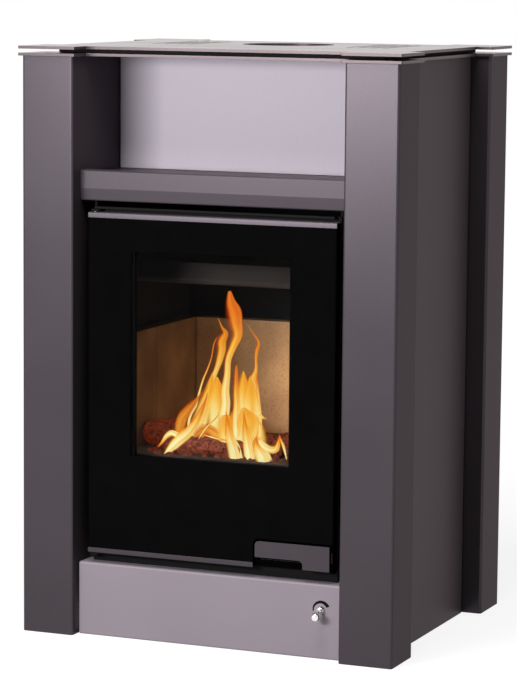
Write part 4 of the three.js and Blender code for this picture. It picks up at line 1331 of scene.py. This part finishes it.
@dataclass
class KnittedRope:
    """A knitted rope laid along a rounded rectangle by Geometry Nodes.

    Attributes:
        radius: Half of the rope's thickness, in metres.
        pitch_mm: Length of one slanting row of stitches.
        relief_mm: How far the stitches stand proud.
        strands: Rows round the rope.
        sides: Points round the rope.
        step_mm: How far its cross-sections are apart.
        inset_mm: The middle line is this far in from the gasket's outer edge.
        corner_mm: Its radius at the corners.
        corner_steps: Stretches round each corner.
    """

    radius: float
    pitch_mm: float = 5.0
    relief_mm: float = 0.35
    strands: float = 8.0
    sides: int = 16
    step_mm: float = 1.2
    inset_mm: float = 5.0
    corner_mm: float = 12.0
    corner_steps: int = 6

    def path(self, low: Vector, high: Vector) -> list[Vector]:
        """The rope's middle line: a rectangle with round corners inside the groove.

        Args:
            low: Lowest corner of the gasket's solid.
            high: Its highest corner.

        Returns:
            Points along the closed line.
        """
        corner = self.corner_mm * MM
        margin = self.inset_mm * MM + corner
        x0, x1 = low.x + margin, high.x - margin
        z0, z1 = low.z + margin, high.z - margin
        points = []
        for quarter, (x, z) in enumerate(((x1, z1), (x0, z1), (x0, z0), (x1, z0))):
            for k in range(self.corner_steps + 1):
                angle = math.pi / 2 * (quarter + k / self.corner_steps)
                outward = Vector((math.cos(angle), 0, math.sin(angle)))
                points.append(Vector((x, (low.y + high.y) / 2, z)) + outward * corner)
        return points

    def pattern(self) -> Pattern:
        """Builds the tree that sweeps the rope and raises its stitches.

        Returns:
            The tree with its named inputs.
        """
        inputs = {"Path": "Geometry", "Radius": "Float", "Pitch": "Float", "Relief": "Float"}
        made = Pattern("knitted_rope_on_path", inputs)
        tree, given = made.tree, made.given
        curve = add_node(tree, "GeometryNodeMeshToCurve", {"Mesh": given["Path"]})
        even = {"mode": "LENGTH", "Curve": curve, "Length": self.step_mm * MM}
        close = add_node(tree, "GeometryNodeResampleCurve", even)
        along = add_node(tree, "GeometryNodeSplineParameter")
        laid = add_node(tree, "GeometryNodeCaptureAttribute", {"domain": "POINT", "Geometry": close})
        laid.capture_items.new("FLOAT", "length")
        tree.links.new(along.outputs["Length"], laid.inputs[1])
        circle = {"Resolution": self.sides, "Radius": given["Radius"]}
        section = add_node(tree, "GeometryNodeCurvePrimitiveCircle", circle)
        rounded = add_node(tree, "GeometryNodeCaptureAttribute", {"domain": "POINT", "Geometry": section})
        rounded.capture_items.new("FLOAT", "turn")
        tree.links.new(along.outputs["Factor"], rounded.inputs[1])
        swept = {"Curve": laid, "Profile Curve": rounded, "Fill Caps": False}
        tube = add_node(tree, "GeometryNodeCurveToMesh", swept)
        per_row = {"operation": "DIVIDE", 0: laid.outputs[1], 1: given["Pitch"]}
        rows = add_node(tree, "ShaderNodeMath", per_row)
        per_turn = {"operation": "MULTIPLY", 0: rounded.outputs[1], 1: self.strands}
        turn = add_node(tree, "ShaderNodeMath", per_turn)
        waves = []
        for slant in ("ADD", "SUBTRACT"):
            phase = add_node(tree, "ShaderNodeMath", {"operation": slant, 0: rows, 1: turn})
            angle = add_node(tree, "ShaderNodeMath", {"operation": "MULTIPLY", 0: phase, 1: math.pi})
            waves.append(add_node(tree, "ShaderNodeMath", {"operation": "SINE", 0: angle}))
        knit = add_node(tree, "ShaderNodeMath", {"operation": "MULTIPLY", 0: waves[0], 1: waves[1]})
        raised = add_node(tree, "ShaderNodeMath", {"operation": "MULTIPLY", 0: knit, 1: given["Relief"]})
        outward = {"operation": "SCALE", 0: add_node(tree, "GeometryNodeInputNormal"), "Scale": raised}
        shift = add_node(tree, "ShaderNodeVectorMath", outward)
        made.end(add_node(tree, "GeometryNodeSetPosition", {"Geometry": tube, "Offset": shift}), GlassRope())
        return made

    def build(self, name: str, low: Vector, high: Vector) -> bpy.types.Object:
        """Lays the rope.

        Args:
            name: The piece's name.
            low: Lowest corner of the gasket's solid.
            high: Its highest corner.

        Returns:
            The rope, a plain mesh.
        """
        points = self.path(low, high)
        edges = [(k, (k + 1) % len(points)) for k in range(len(points))]
        mesh = bpy.data.meshes.new(name)
        mesh.from_pydata([tuple(point) for point in points], edges, [])
        relief = self.relief_mm * MM
        sizes = {"Radius": self.radius - relief, "Pitch": self.pitch_mm * MM, "Relief": relief}
        made = self.pattern().run(mesh_object(name, mesh), sizes)
        shade_smooth(made.data)
        return made


@dataclass
class Hinges(SubAssembly):
    """Hinge brackets and pins, and the catch for the latch."""

    def build(self) -> None:
        """Finishes the pieces that carry and hold the door."""
        brackets, pins = ("hinge_bracket_bottom", "hinge_bracket_top"), ("hinge_pin_bottom", "hinge_pin_top")
        self.finish_solids(brackets, "cut", Metal.BLACK.value, EdgeRadius(0.4))
        self.finish_solids(pins, "drawn", Metal.ZINC.value, EdgeRadius(0.3, sharp_deg=50.0))
        self.finish_solids(("latch_keeper",), "milled", Metal.ZINC.value, EdgeRadius(0.3))


@dataclass
class Handle(SubAssembly):
    """The flat handle in the corner of the door."""

    body: str = "handle"

    def build(self) -> None:
        """Finishes the handle."""
        self.finish_solids(("door_handle",), "cut", Paint.CHARCOAL.value, EdgeRadius(0.35, 3))


@dataclass
class AshPan(SubAssembly):
    """The folded ash pan."""

    body: str = "ash_pan"

    def build(self) -> None:
        """Finishes the pan and its pull."""
        self.finish_solids(("ash_pan", "ash_pan_pull"), "folded", Metal.ZINC.value, EdgeRadius(0.3))


# ---------------------------------------------------------------- the fire
@dataclass(frozen=True)
class Log:
    """One split log.

    Attributes:
        name: The piece's name.
        start: One end of its middle line, in millimetres.
        end: The other end.
        radius_mm: Its mean radius.
        seed: Sets its bark.
        rings: Cross-sections along it.
        steps: Points round it.
        crook_mm: How far its middle line wanders.
        knobs: Height of the coarse bark, as a share of the radius.
        ridges: Height of the ridges along it.
        split: Depth of the split face.
    """

    name: str
    start: tuple[float, float, float]
    end: tuple[float, float, float]
    radius_mm: float
    seed: int
    rings: int = 46
    steps: int = 40
    crook_mm: float = 3.0
    knobs: float = 0.16
    ridges: float = 0.14
    split: float = 0.22

    def bark(self, angle: float, share: float) -> float:
        """The radius at a place, as a share of the mean one.

        Args:
            angle: How far round the log.
            share: How far along it, from 0 to 1.

        Returns:
            About 1, and less on the split face and at both ends.
        """
        offset = Vector((self.seed * 3.1, self.seed * 1.7, 0))
        place = Vector((math.cos(angle) * 2.2, math.sin(angle) * 2.2, share * 5)) + offset
        height = noise.fractal(place * 1.9, 0.6, 2.1, 4) * self.knobs
        height += abs(noise.noise(Vector((angle * 3.4, share * 2.2, self.seed)))) * self.ridges
        height -= max(0.0, math.cos(angle - 0.9)) ** 4 * self.split
        taper = 1 - 0.55 * (abs(share - 0.5) * 2) ** 14
        return taper * (1 + height)

    def build(self) -> bpy.types.Object:
        """Lofts the log ring by ring, with ridged bark, a split face and rough ends.

        Returns:
            The log, a plain mesh.
        """
        start, end = Vector(self.start) * MM, Vector(self.end) * MM
        along = (end - start).normalized()
        side = along.cross(Vector((0, 0, 1))).normalized()
        up = side.cross(along)
        bm = bmesh.new()
        rings = []
        for i in range(self.rings):
            share = i / (self.rings - 1)
            middle = start.lerp(end, share) + side * math.sin(share * 3 + self.seed) * self.crook_mm * MM
            ring = []
            for k in range(self.steps):
                angle = 2 * math.pi * k / self.steps
                outward = side * math.cos(angle) + up * math.sin(angle)
                ring.append(bm.verts.new(middle + outward * (self.radius_mm * MM * self.bark(angle, share))))
            rings.append(ring)
        loft(bm, rings)
        for ring, tip in ((rings[0], start), (rings[-1], end)):
            centre = bm.verts.new(tip)
            for k in range(self.steps):
                bm.faces.new((ring[k], ring[(k + 1) % self.steps], centre))
        bmesh.ops.recalc_face_normals(bm, faces=bm.faces)
        return from_bmesh(self.name, bm, smooth=True)


@dataclass(frozen=True)
class Tongue:
    """One tongue of flame.

    Attributes:
        name: The piece's name.
        heat: How hot it burns.
        depth_mm: Y of its middle line.
        line: X, Z and width of points along its middle line, in millimetres, root first.
        sheets: For each of its sheets, how far it is turned about the middle line, in degrees, and
            its width as a share of the tongue's. The broad one faces the door.
        bow: How far a sheet bows out, as a share of its width.
        rows: Rows of faces from one point of the line to the next.
        columns: Faces across a sheet.
    """

    name: str
    heat: Heat
    depth_mm: float
    line: tuple[tuple[float, float, float], ...]
    sheets: tuple[tuple[float, float], ...] = ((22.8, 1.0), (67.8, 0.6), (157.8, 0.6))
    bow: float = 0.22
    rows: int = 8
    columns: int = 10

    def sample(self, share: float) -> tuple[Vector, Vector, float]:
        """Follows the middle line by a smooth curve through its points.

        Args:
            share: How far along the tongue, from 0 to 1.

        Returns:
            The point, the direction and the width there.
        """
        last = len(self.line) - 1
        at = min(share * last, last - 1e-6)
        i = int(at)
        t = at - i
        keys = [self.line[max(0, min(last, i + k))] for k in (-1, 0, 1, 2)]
        value, slope = [], []
        for p0, p1, p2, p3 in zip(*keys):
            a = p2 - p0
            b = 2 * p0 - 5 * p1 + 4 * p2 - p3
            c = 3 * p1 - p0 - 3 * p2 + p3
            value.append(0.5 * (2 * p1 + a * t + b * t * t + c * t**3))
            slope.append(a + 2 * b * t + 3 * c * t * t)
        point = Vector((value[0], self.depth_mm, value[1])) * MM
        return point, Vector((slope[0], 0, slope[1])).normalized(), max(value[2], 0.4) * MM

    def add_sheet(self, bm: bmesh.types.BMesh, turn_deg: float, scale: float) -> None:
        """Adds one sheet of the tongue.

        Args:
            bm: Where it goes.
            turn_deg: How far the sheet is turned about the tongue's own line.
            scale: Its width as a share of the tongue's.
        """
        layer = bm.loops.layers.uv.verify()
        turn = math.radians(turn_deg)
        row_count = self.rows * len(self.line)
        rows = []
        for i in range(row_count + 1):
            share = i / row_count
            middle, along, width = self.sample(share)
            flat = Vector((-along.z, 0, along.x))
            across = flat * math.cos(turn) + REARWARD * math.sin(turn)
            bow = across.cross(along) * width * self.bow
            row = []
            for j in range(self.columns + 1):
                v = j / self.columns
                place = middle + across * (v - 0.5) * width * scale + bow * math.sin(v * math.pi)
                row.append((bm.verts.new(place), share, v))
            rows.append(row)
        for low, high in zip(rows, rows[1:]):
            for j in range(self.columns):
                corners = (low[j], low[j + 1], high[j + 1], high[j])
                face = bm.faces.new([vert for vert, _, _ in corners])
                for loop, (_, share, v) in zip(face.loops, corners):
                    loop[layer].uv = (share, v)

    def build(self) -> bpy.types.Object:
        """Makes the tongue from a broad sheet that faces the door and two narrower ones across it.

        Returns:
            The tongue, a plain mesh.
        """
        bm = bmesh.new()
        for turn_deg, scale in self.sheets:
            self.add_sheet(bm, turn_deg, scale)
        return from_bmesh(self.name, bm, smooth=True)


LOGS = (
    Log("log_left", (-188, -112, 336), (-56, 14, 338), 23, 3),
    Log("log_front", (-134, -152, 327), (18, -140, 327), 15, 5),
    Log("log_right", (-70, -90, 333), (-24, 6, 336), 20, 8),
)

FLAMES = (
    Tongue("flame_column_left", Heat.BRIGHT, -125, (
        (-21, 293, 21), (-24, 315, 24), (-28, 338, 30), (-31, 358, 30), (-32, 378, 33), (-29, 401, 31),
        (-30, 423, 28), (-26, 451, 21), (-24, 478, 20), (-15, 502, 23), (-7, 522, 30), (-10, 541, 39),
        (-14, 561, 45), (-20, 578, 31), (-22, 597, 10))),
    Tongue("flame_shoulder", Heat.WARM, -108, (
        (-48, 377, 4), (-57, 391, 20), (-63, 409, 31), (-64, 428, 27), (-61, 440, 20), (-54, 456, 17),
        (-48, 474, 22), (-44, 492, 27), (-44, 507, 29), (-37, 521, 19), (-43, 531, 7), (-51, 548, 1))),
    Tongue("flame_strand", Heat.BRIGHT, -118, (
        (-100, 346, 21), (-101, 361, 9), (-97, 376, 8), (-88, 392, 8), (-83, 409, 7), (-78, 426, 6),
        (-73, 441, 6), (-65, 459, 5), (-58, 479, 4), (-54, 501, 4), (-48, 515, 1))),
    Tongue("flame_streak", Heat.BRIGHT, -172, (
        (-124, 305, 16), (-113, 322, 21), (-105, 331, 30), (-93, 343, 34), (-79, 354, 32), (-67, 368, 25),
        (-59, 381, 19), (-52, 396, 14), (-45, 412, 7), (-41, 425, 2))),
    Tongue("flame_halo", Heat.COOL, -150, (
        (-106, 341, 24), (-105, 358, 33), (-100, 375, 35), (-90, 388, 29), (-79, 400, 20), (-69, 412, 8),
        (-60, 424, 1))),
    Tongue("flame_hook_left", Heat.BRIGHT, -174, (
        (-96, 345, 19), (-107, 349, 18), (-117, 344, 13), (-125, 334, 7), (-130, 328, 5), (-134, 323, 1))),
    Tongue("flame_column_mid", Heat.BRIGHT, -140, (
        (1, 297, 32), (-1, 318, 34), (-3, 338, 34), (-1, 358, 32), (-2, 379, 26), (-1, 401, 22),
        (-2, 423, 19), (-2, 442, 15), (-2, 459, 12), (-1, 472, 2))),
    Tongue("flame_column_right", Heat.WARM, -100, (
        (20, 330, 21), (20, 352, 32), (13, 370, 42), (7, 389, 51), (9, 407, 46), (11, 426, 38),
        (11, 441, 30), (12, 444, 23), (18, 460, 12), (18, 477, 9), (19, 492, 13), (23, 507, 10),
        (13, 522, 4), (1, 539, 1))),
    Tongue("flame_edge_right", Heat.BRIGHT, -104, (
        (28, 338, 9), (28, 359, 13), (28, 379, 12), (26, 402, 9), (24, 424, 8), (22, 442, 6), (22, 452, 2))),
    Tongue("flame_leaf", Heat.BRIGHT, -168, (
        (66, 306, 45), (60, 317, 50), (55, 326, 45), (50, 335, 32), (48, 346, 16), (50, 355, 2))),
    Tongue("flame_body_right", Heat.VEIL, -130, (
        (13, 296, 40), (9, 315, 40), (7, 333, 50), (10, 352, 71), (12, 371, 81), (10, 384, 53),
        (8, 396, 13))),
    Tongue("flame_hook_right", Heat.BRIGHT, -172, (
        (55, 350, 6), (62, 342, 16), (74, 335, 19), (86, 336, 19), (91, 346, 13), (93, 355, 6),
        (94, 361, 1))),
    Tongue("flame_leg_right", Heat.BRIGHT, -174, (
        (108, 319, 2), (105, 330, 6), (101, 343, 9), (96, 354, 6), (94, 362, 1))),
    Tongue("flame_spur", Heat.WARM, -112, (
        (31, 381, 16), (39, 378, 6), (46, 376, 1))),
    Tongue("flame_thread", Heat.BRIGHT, -176, (
        (-57, 342, 1), (-50, 353, 3), (-42, 364, 4), (-32, 374, 4), (-22, 384, 3), (-19, 392, 1))),
    Tongue("flame_log_edge", Heat.BRIGHT, -166, (
        (-52, 350, 1), (-32, 346, 4), (-18, 344, 4), (-5, 343, 1))),
    Tongue("flame_body_mid", Heat.VEIL, -134, (
        (-11, 297, 67), (-14, 318, 81), (-18, 336, 89), (-20, 354, 94), (-24, 369, 67), (-26, 382, 20))),
    Tongue("flame_fan_left", Heat.COOL, -146, (
        (-19, 341, 16), (-35, 348, 27), (-51, 354, 32), (-67, 347, 29), (-79, 337, 8))),
    Tongue("flame_veil_left", Heat.VEIL, -112, (
        (-43, 320, 64), (-49, 349, 77), (-52, 377, 76), (-53, 405, 62), (-51, 427, 38), (-50, 444, 6))),
    Tongue("flame_veil_right", Heat.VEIL, -110, (
        (8, 323, 81), (7, 353, 84), (6, 380, 79), (7, 408, 64), (10, 429, 35), (12, 448, 5))),
    Tongue("flame_veil_core", Heat.VEIL, -116, (
        (0, 318, 60), (0, 345, 66), (-1, 372, 66), (-1, 400, 58), (0, 425, 42), (1, 445, 22), (2, 458, 4))),
    Tongue("flame_veil_edge", Heat.VEIL, -122, (
        (-92, 322, 50), (-88, 345, 58), (-80, 368, 54), (-72, 392, 44), (-64, 414, 32), (-58, 436, 18),
        (-54, 452, 4))),
    Tongue("flame_veil_low", Heat.VEIL, -114, (
        (-4, 308, 134), (-5, 330, 148), (-6, 352, 141), (-9, 371, 101), (-11, 391, 19))),
    Tongue("flame_foot_mid", Heat.BRIGHT, -160, (
        (8, 301, 40), (5, 315, 45), (1, 330, 42), (-4, 344, 32), (-7, 361, 21), (-10, 379, 8),
        (-11, 394, 1))),
    Tongue("flame_foot_right", Heat.BRIGHT, -158, (
        (31, 302, 34), (31, 317, 37), (28, 332, 34), (26, 346, 27), (24, 363, 19), (22, 381, 7),
        (21, 396, 1))),
)


@dataclass
class Charcoal:
    """Lumps of charcoal strewn over a flat surface by Geometry Nodes.

    Attributes:
        lumps: About how many there are.
        size_mm: Radius of a lump before it is broken.
        facets_per_m: Broken faces along a metre.
        seed: Sets where the lumps lie and how they are turned.
        shape_seed: Sets their proportions.
        least: A lump's least length, width and height, as shares of its size.
        most: Its greatest.
    """

    lumps: int = 420
    size_mm: float = 7.0
    facets_per_m: float = 130.0
    seed: int = 11
    shape_seed: int = 5
    least: tuple[float, float, float] = (0.5, 0.5, 0.4)
    most: tuple[float, float, float] = (1.25, 1.1, 0.9)

    def pattern(self) -> Pattern:
        """Builds the tree that strews broken lumps over a surface.

        Returns:
            The tree with its named inputs.
        """
        inputs = {"Surface": "Geometry", "Count": "Float", "Size": "Float", "Seed": "Int"}
        made = Pattern("charcoal_on_surface", inputs)
        tree, given = made.tree, made.given
        strewn = {"Mesh": given["Surface"], "Density": given["Count"], "Seed": given["Seed"]}
        spots = {"distribute_method": "RANDOM"} | strewn
        places = add_node(tree, "GeometryNodeDistributePointsOnFaces", spots)
        ball = {"Radius": given["Size"], "Subdivisions": 2}
        lump = add_node(tree, "GeometryNodeMeshIcoSphere", ball)
        facets = add_node(tree, "ShaderNodeTexVoronoi", {"Scale": self.facets_per_m})
        depth = {"Value": facets, "From Max": 0.9, "To Min": 0.55, "To Max": 1.15}
        broken = add_node(tree, "ShaderNodeMapRange", depth)
        place = add_node(tree, "GeometryNodeInputPosition")
        shaped = add_node(tree, "ShaderNodeVectorMath", {"operation": "SCALE", 0: place, "Scale": broken})
        rough = add_node(tree, "GeometryNodeSetPosition", {"Geometry": lump, "Position": shaped})
        any_way = {"data_type": "FLOAT_VECTOR", 0: (0, 0, 0), 1: (math.tau,) * 3, "Seed": given["Seed"]}
        turn = add_node(tree, "FunctionNodeRandomValue", any_way)
        any_size = {"data_type": "FLOAT_VECTOR", 0: self.least, 1: self.most, "Seed": self.shape_seed}
        size = add_node(tree, "FunctionNodeRandomValue", any_size)
        placing = {"Points": places, "Instance": rough, "Rotation": turn, "Scale": size}
        made.end(add_node(tree, "GeometryNodeInstanceOnPoints", placing), Ember())
        return made

    def build(self, name: str, low: Vector, high: Vector) -> bpy.types.Object:
        """Strews the lumps.

        Args:
            name: The piece's name.
            low: One corner of the surface.
            high: The corner across from it, at the same height.

        Returns:
            The lumps, a plain mesh.
        """
        mesh = bpy.data.meshes.new(name)
        corners = [low, (high.x, low.y, low.z), high, (low.x, high.y, low.z)]
        mesh.from_pydata([tuple(corner) for corner in corners], [], [(0, 1, 2, 3)])
        density = self.lumps / ((high.x - low.x) * (high.y - low.y))
        sizes = {"Count": density, "Size": self.size_mm * MM, "Seed": self.seed}
        made = self.pattern().run(mesh_object(name, mesh), sizes)
        shade_smooth(made.data)
        return made


@dataclass
class Fire(SubAssembly):
    """The logs on the grate, charcoal under them, and the flames that rise from them.

    Attributes:
        bed_half_mm: Half of the charcoal bed's width.
        bed_front_mm: How far the bed stops short of the hearth slab's front edge.
        bed_rear_mm: How far it stops short of the slab's rear edge.
    """

    bed_half_mm: float = 165.0
    bed_front_mm: float = 12.0
    bed_rear_mm: float = 20.0

    def build(self) -> None:
        """Lays the logs and the charcoal and lights the fire."""
        for one in LOGS:
            dress(one.build(), BurningBark(), self.body)
        slab_low, slab_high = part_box("hearth_slab")
        half = self.bed_half_mm * MM
        low = Vector((-half, slab_low.y + self.bed_front_mm * MM, slab_high.z))
        high = Vector((half, slab_high.y - self.bed_rear_mm * MM, slab_high.z))
        dress(Charcoal().build("ember_bed", low, high), Ember(), self.body)
        for tongue in FLAMES:
            sheets = dress(tongue.build(), tongue.heat.value, self.body)
            sheets.visible_shadow = False  # burning gas throws no shadow
            sheets.visible_diffuse = False  # the fire's glow lamp lights the lining for them


# ---------------------------------------------------------------- studio
@dataclass(frozen=True)
class SoftBox:
    """One rectangular lamp.

    Attributes:
        name: Its name.
        place: Where it hangs, in metres.
        target: What it points at.
        size: Its width and height.
        watts: Its power.
        colour: Its colour, sRGB hex.
    """

    name: str
    place: tuple[float, float, float]
    target: tuple[float, float, float]
    size: tuple[float, float]
    watts: float
    colour: str

    def build(self) -> None:
        """Hangs the lamp."""
        data = bpy.data.lights.new(self.name, "AREA")
        data.shape = "RECTANGLE"
        data.size, data.size_y = self.size
        data.energy = self.watts
        data.color = linear(self.colour)[:3]
        lamp = bpy.data.objects.new(self.name, data)
        bpy.context.scene.collection.objects.link(lamp)
        lamp.location = self.place
        aim = Vector(self.target) - Vector(self.place)
        lamp.rotation_euler = aim.to_track_quat("-Z", "Y").to_euler()


@dataclass
class Studio:
    """Camera, lamps, white surroundings and floor.

    Attributes:
        eye: The camera's place, in metres.
        lens_mm: Its focal length on a 36 mm sensor along the picture's long side.
        yaw: Where it looks, in radians turned left of +Y.
        pitch: How far it looks down.
        roll: How far it is tipped clockwise.
        fill: Strength of the even fill.
        softboxes: A key at the front left, one over the top and a weak one behind on the right.
        glow_place: Where the fire's own light comes from.
        glow_watts: Its power.
        floor_half: Half of the floor's width.
        near: Strength of the floor's white round the stove.
        fade: From where to where it rises to 1, in metres from the middle of the stove.
    """

    eye: tuple[float, float, float] = (1.9852, -4.7635, 1.1661)
    lens_mm: float = 157.18
    yaw: float = 0.3983
    pitch: float = 0.1276
    roll: float = 0.0086
    fill: float = 0.12
    softboxes: tuple[SoftBox, ...] = (
        SoftBox("key_softbox", (-0.7, -2.6, 1.08), (0.1, -0.28, 1.05), (1.1, 0.55), 52.5, "fffdfe"),
        SoftBox("top_softbox", (0.1, -1.0, 2.5), (0, -0.25, 0.95), (1.0, 1.0), 32.0, "fff8f6"),
        SoftBox("rear_softbox", (2.4, 1.3, 1.4), (0.35, 0.2, 0.6), (0.9, 0.9), 1.1, "ffcfc6"),
    )
    glow_place: tuple[float, float, float] = (0.07, 0.02, 0.41)
    glow_watts: float = 0.62
    floor_half: float = 9.0
    near: float = 0.86
    fade: tuple[float, float] = (0.8, 3.5)

    def build(self) -> None:
        """Sets up the whole studio."""
        scene = bpy.context.scene
        scene.view_settings.view_transform = "Standard"
        self.camera(scene)
        self.world(scene)
        for softbox in self.softboxes:
            softbox.build()
        self.fire_glow(scene)
        self.floor()

    def camera(self, scene: bpy.types.Scene) -> None:
        """Places the camera where the photograph was taken from.

        Args:
            scene: The scene.
        """
        data = bpy.data.cameras.new("camera")
        data.lens = self.lens_mm
        data.sensor_width = 36.0
        data.sensor_fit = "AUTO"
        data.clip_start, data.clip_end = 0.05, 100.0
        camera = bpy.data.objects.new("camera", data)
        scene.collection.objects.link(camera)
        level = Vector((math.cos(self.yaw), math.sin(self.yaw), 0))
        forward = Vector((-math.sin(self.yaw), math.cos(self.yaw), 0))
        ahead = forward * math.cos(self.pitch) - Vector((0, 0, math.sin(self.pitch)))
        right = level * math.cos(self.roll) + level.cross(ahead) * math.sin(self.roll)
        turn = Matrix((right, right.cross(ahead), -ahead)).transposed().to_4x4()
        camera.matrix_world = Matrix.Translation(self.eye) @ turn
        scene.camera = camera

    def fire_glow(self, scene: bpy.types.Scene) -> None:
        """The light that the fire throws on the lining; the lamp itself isn't seen.

        Args:
            scene: The scene.
        """
        data = bpy.data.lights.new("fire_glow", "POINT")
        data.energy = self.glow_watts
        data.shadow_soft_size = 0.06
        data.color = linear("ffd6a6")[:3]
        glow = bpy.data.objects.new("fire_glow", data)
        scene.collection.objects.link(glow)
        glow.location = self.glow_place
        glow.visible_camera = glow.visible_glossy = glow.visible_transmission = False

    def sees_white(self, tree: bpy.types.NodeTree) -> bpy.types.Node:
        """1 for camera, gloss and transmission rays, which see the white studio, and 0 for the rest.

        Args:
            tree: The world's or the floor's tree.

        Returns:
            The node that gives the value.
        """
        path = add_node(tree, "ShaderNodeLightPath").outputs
        straight = {"operation": "MAXIMUM", 0: path["Is Camera Ray"], 1: path["Is Transmission Ray"]}
        sight = add_node(tree, "ShaderNodeMath", straight)
        return add_node(tree, "ShaderNodeMath", {"operation": "MAXIMUM", 0: sight, 1: path["Is Glossy Ray"]})

    def world(self, scene: bpy.types.Scene) -> None:
        """White to the eye and in gloss and glass, and a weak even fill for everything else.

        Args:
            scene: The scene.
        """
        world = bpy.data.worlds.new("studio")
        world.use_nodes = True
        tree = world.node_tree
        tree.nodes.clear()
        level = add_node(tree, "ShaderNodeMapRange", {"Value": self.sees_white(tree), "To Min": self.fill})
        shell = add_node(tree, "ShaderNodeBackground", {"Color": grey(1.0), "Strength": level})
        add_node(tree, "ShaderNodeOutputWorld", {"Surface": shell})
        scene.world = world

    def floor(self) -> None:
        """A pale sheet under the stove, white to the eye but for the stove's shadow."""
        bm = bmesh.new()
        half = self.floor_half
        for x, y in ((-half, -half), (half, -half), (half, half), (-half, half)):
            bm.verts.new((x, y, -0.6 * MM))
        bm.faces.new(bm.verts)
        sheet = from_bmesh("studio_floor", bm)
        material = bpy.data.materials.new("studio_paper")
        material.use_nodes = True
        tree = material.node_tree
        tree.nodes.clear()
        place = add_node(tree, "ShaderNodeTexCoord").outputs["Object"]
        away = add_node(tree, "ShaderNodeVectorMath", {"operation": "LENGTH", 0: place}).outputs["Value"]
        start, end = self.fade
        rising = {"Value": away, "From Min": start, "From Max": end, "To Min": self.near, "To Max": 1.0}
        level = add_node(tree, "ShaderNodeMapRange", rising)
        paper = add_node(tree, "ShaderNodeBsdfDiffuse", {"Color": linear("989797")})
        white = add_node(tree, "ShaderNodeEmission", {"Color": grey(1.0), "Strength": level})
        both = add_node(tree, "ShaderNodeAddShader", {0: paper, 1: white})
        mix = add_node(tree, "ShaderNodeMixShader", {0: self.sees_white(tree), 1: paper, 2: both})
        add_node(tree, "ShaderNodeOutputMaterial", {"Surface": mix})
        sheet.data.materials.append(material)


def main() -> None:
    """Builds the stove's looks in order."""
    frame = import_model()
    Studio().build()
    for part in (Casing, Niche, TopPlates, Firebox, Base, AirControl, Door, Hinges, Handle, AshPan, Fire):
        log.info("building %s", part.__name__)
        part(frame).build()


if __name__ == "__main__":
    logging.basicConfig(level=logging.INFO, format="%(message)s")
    main()
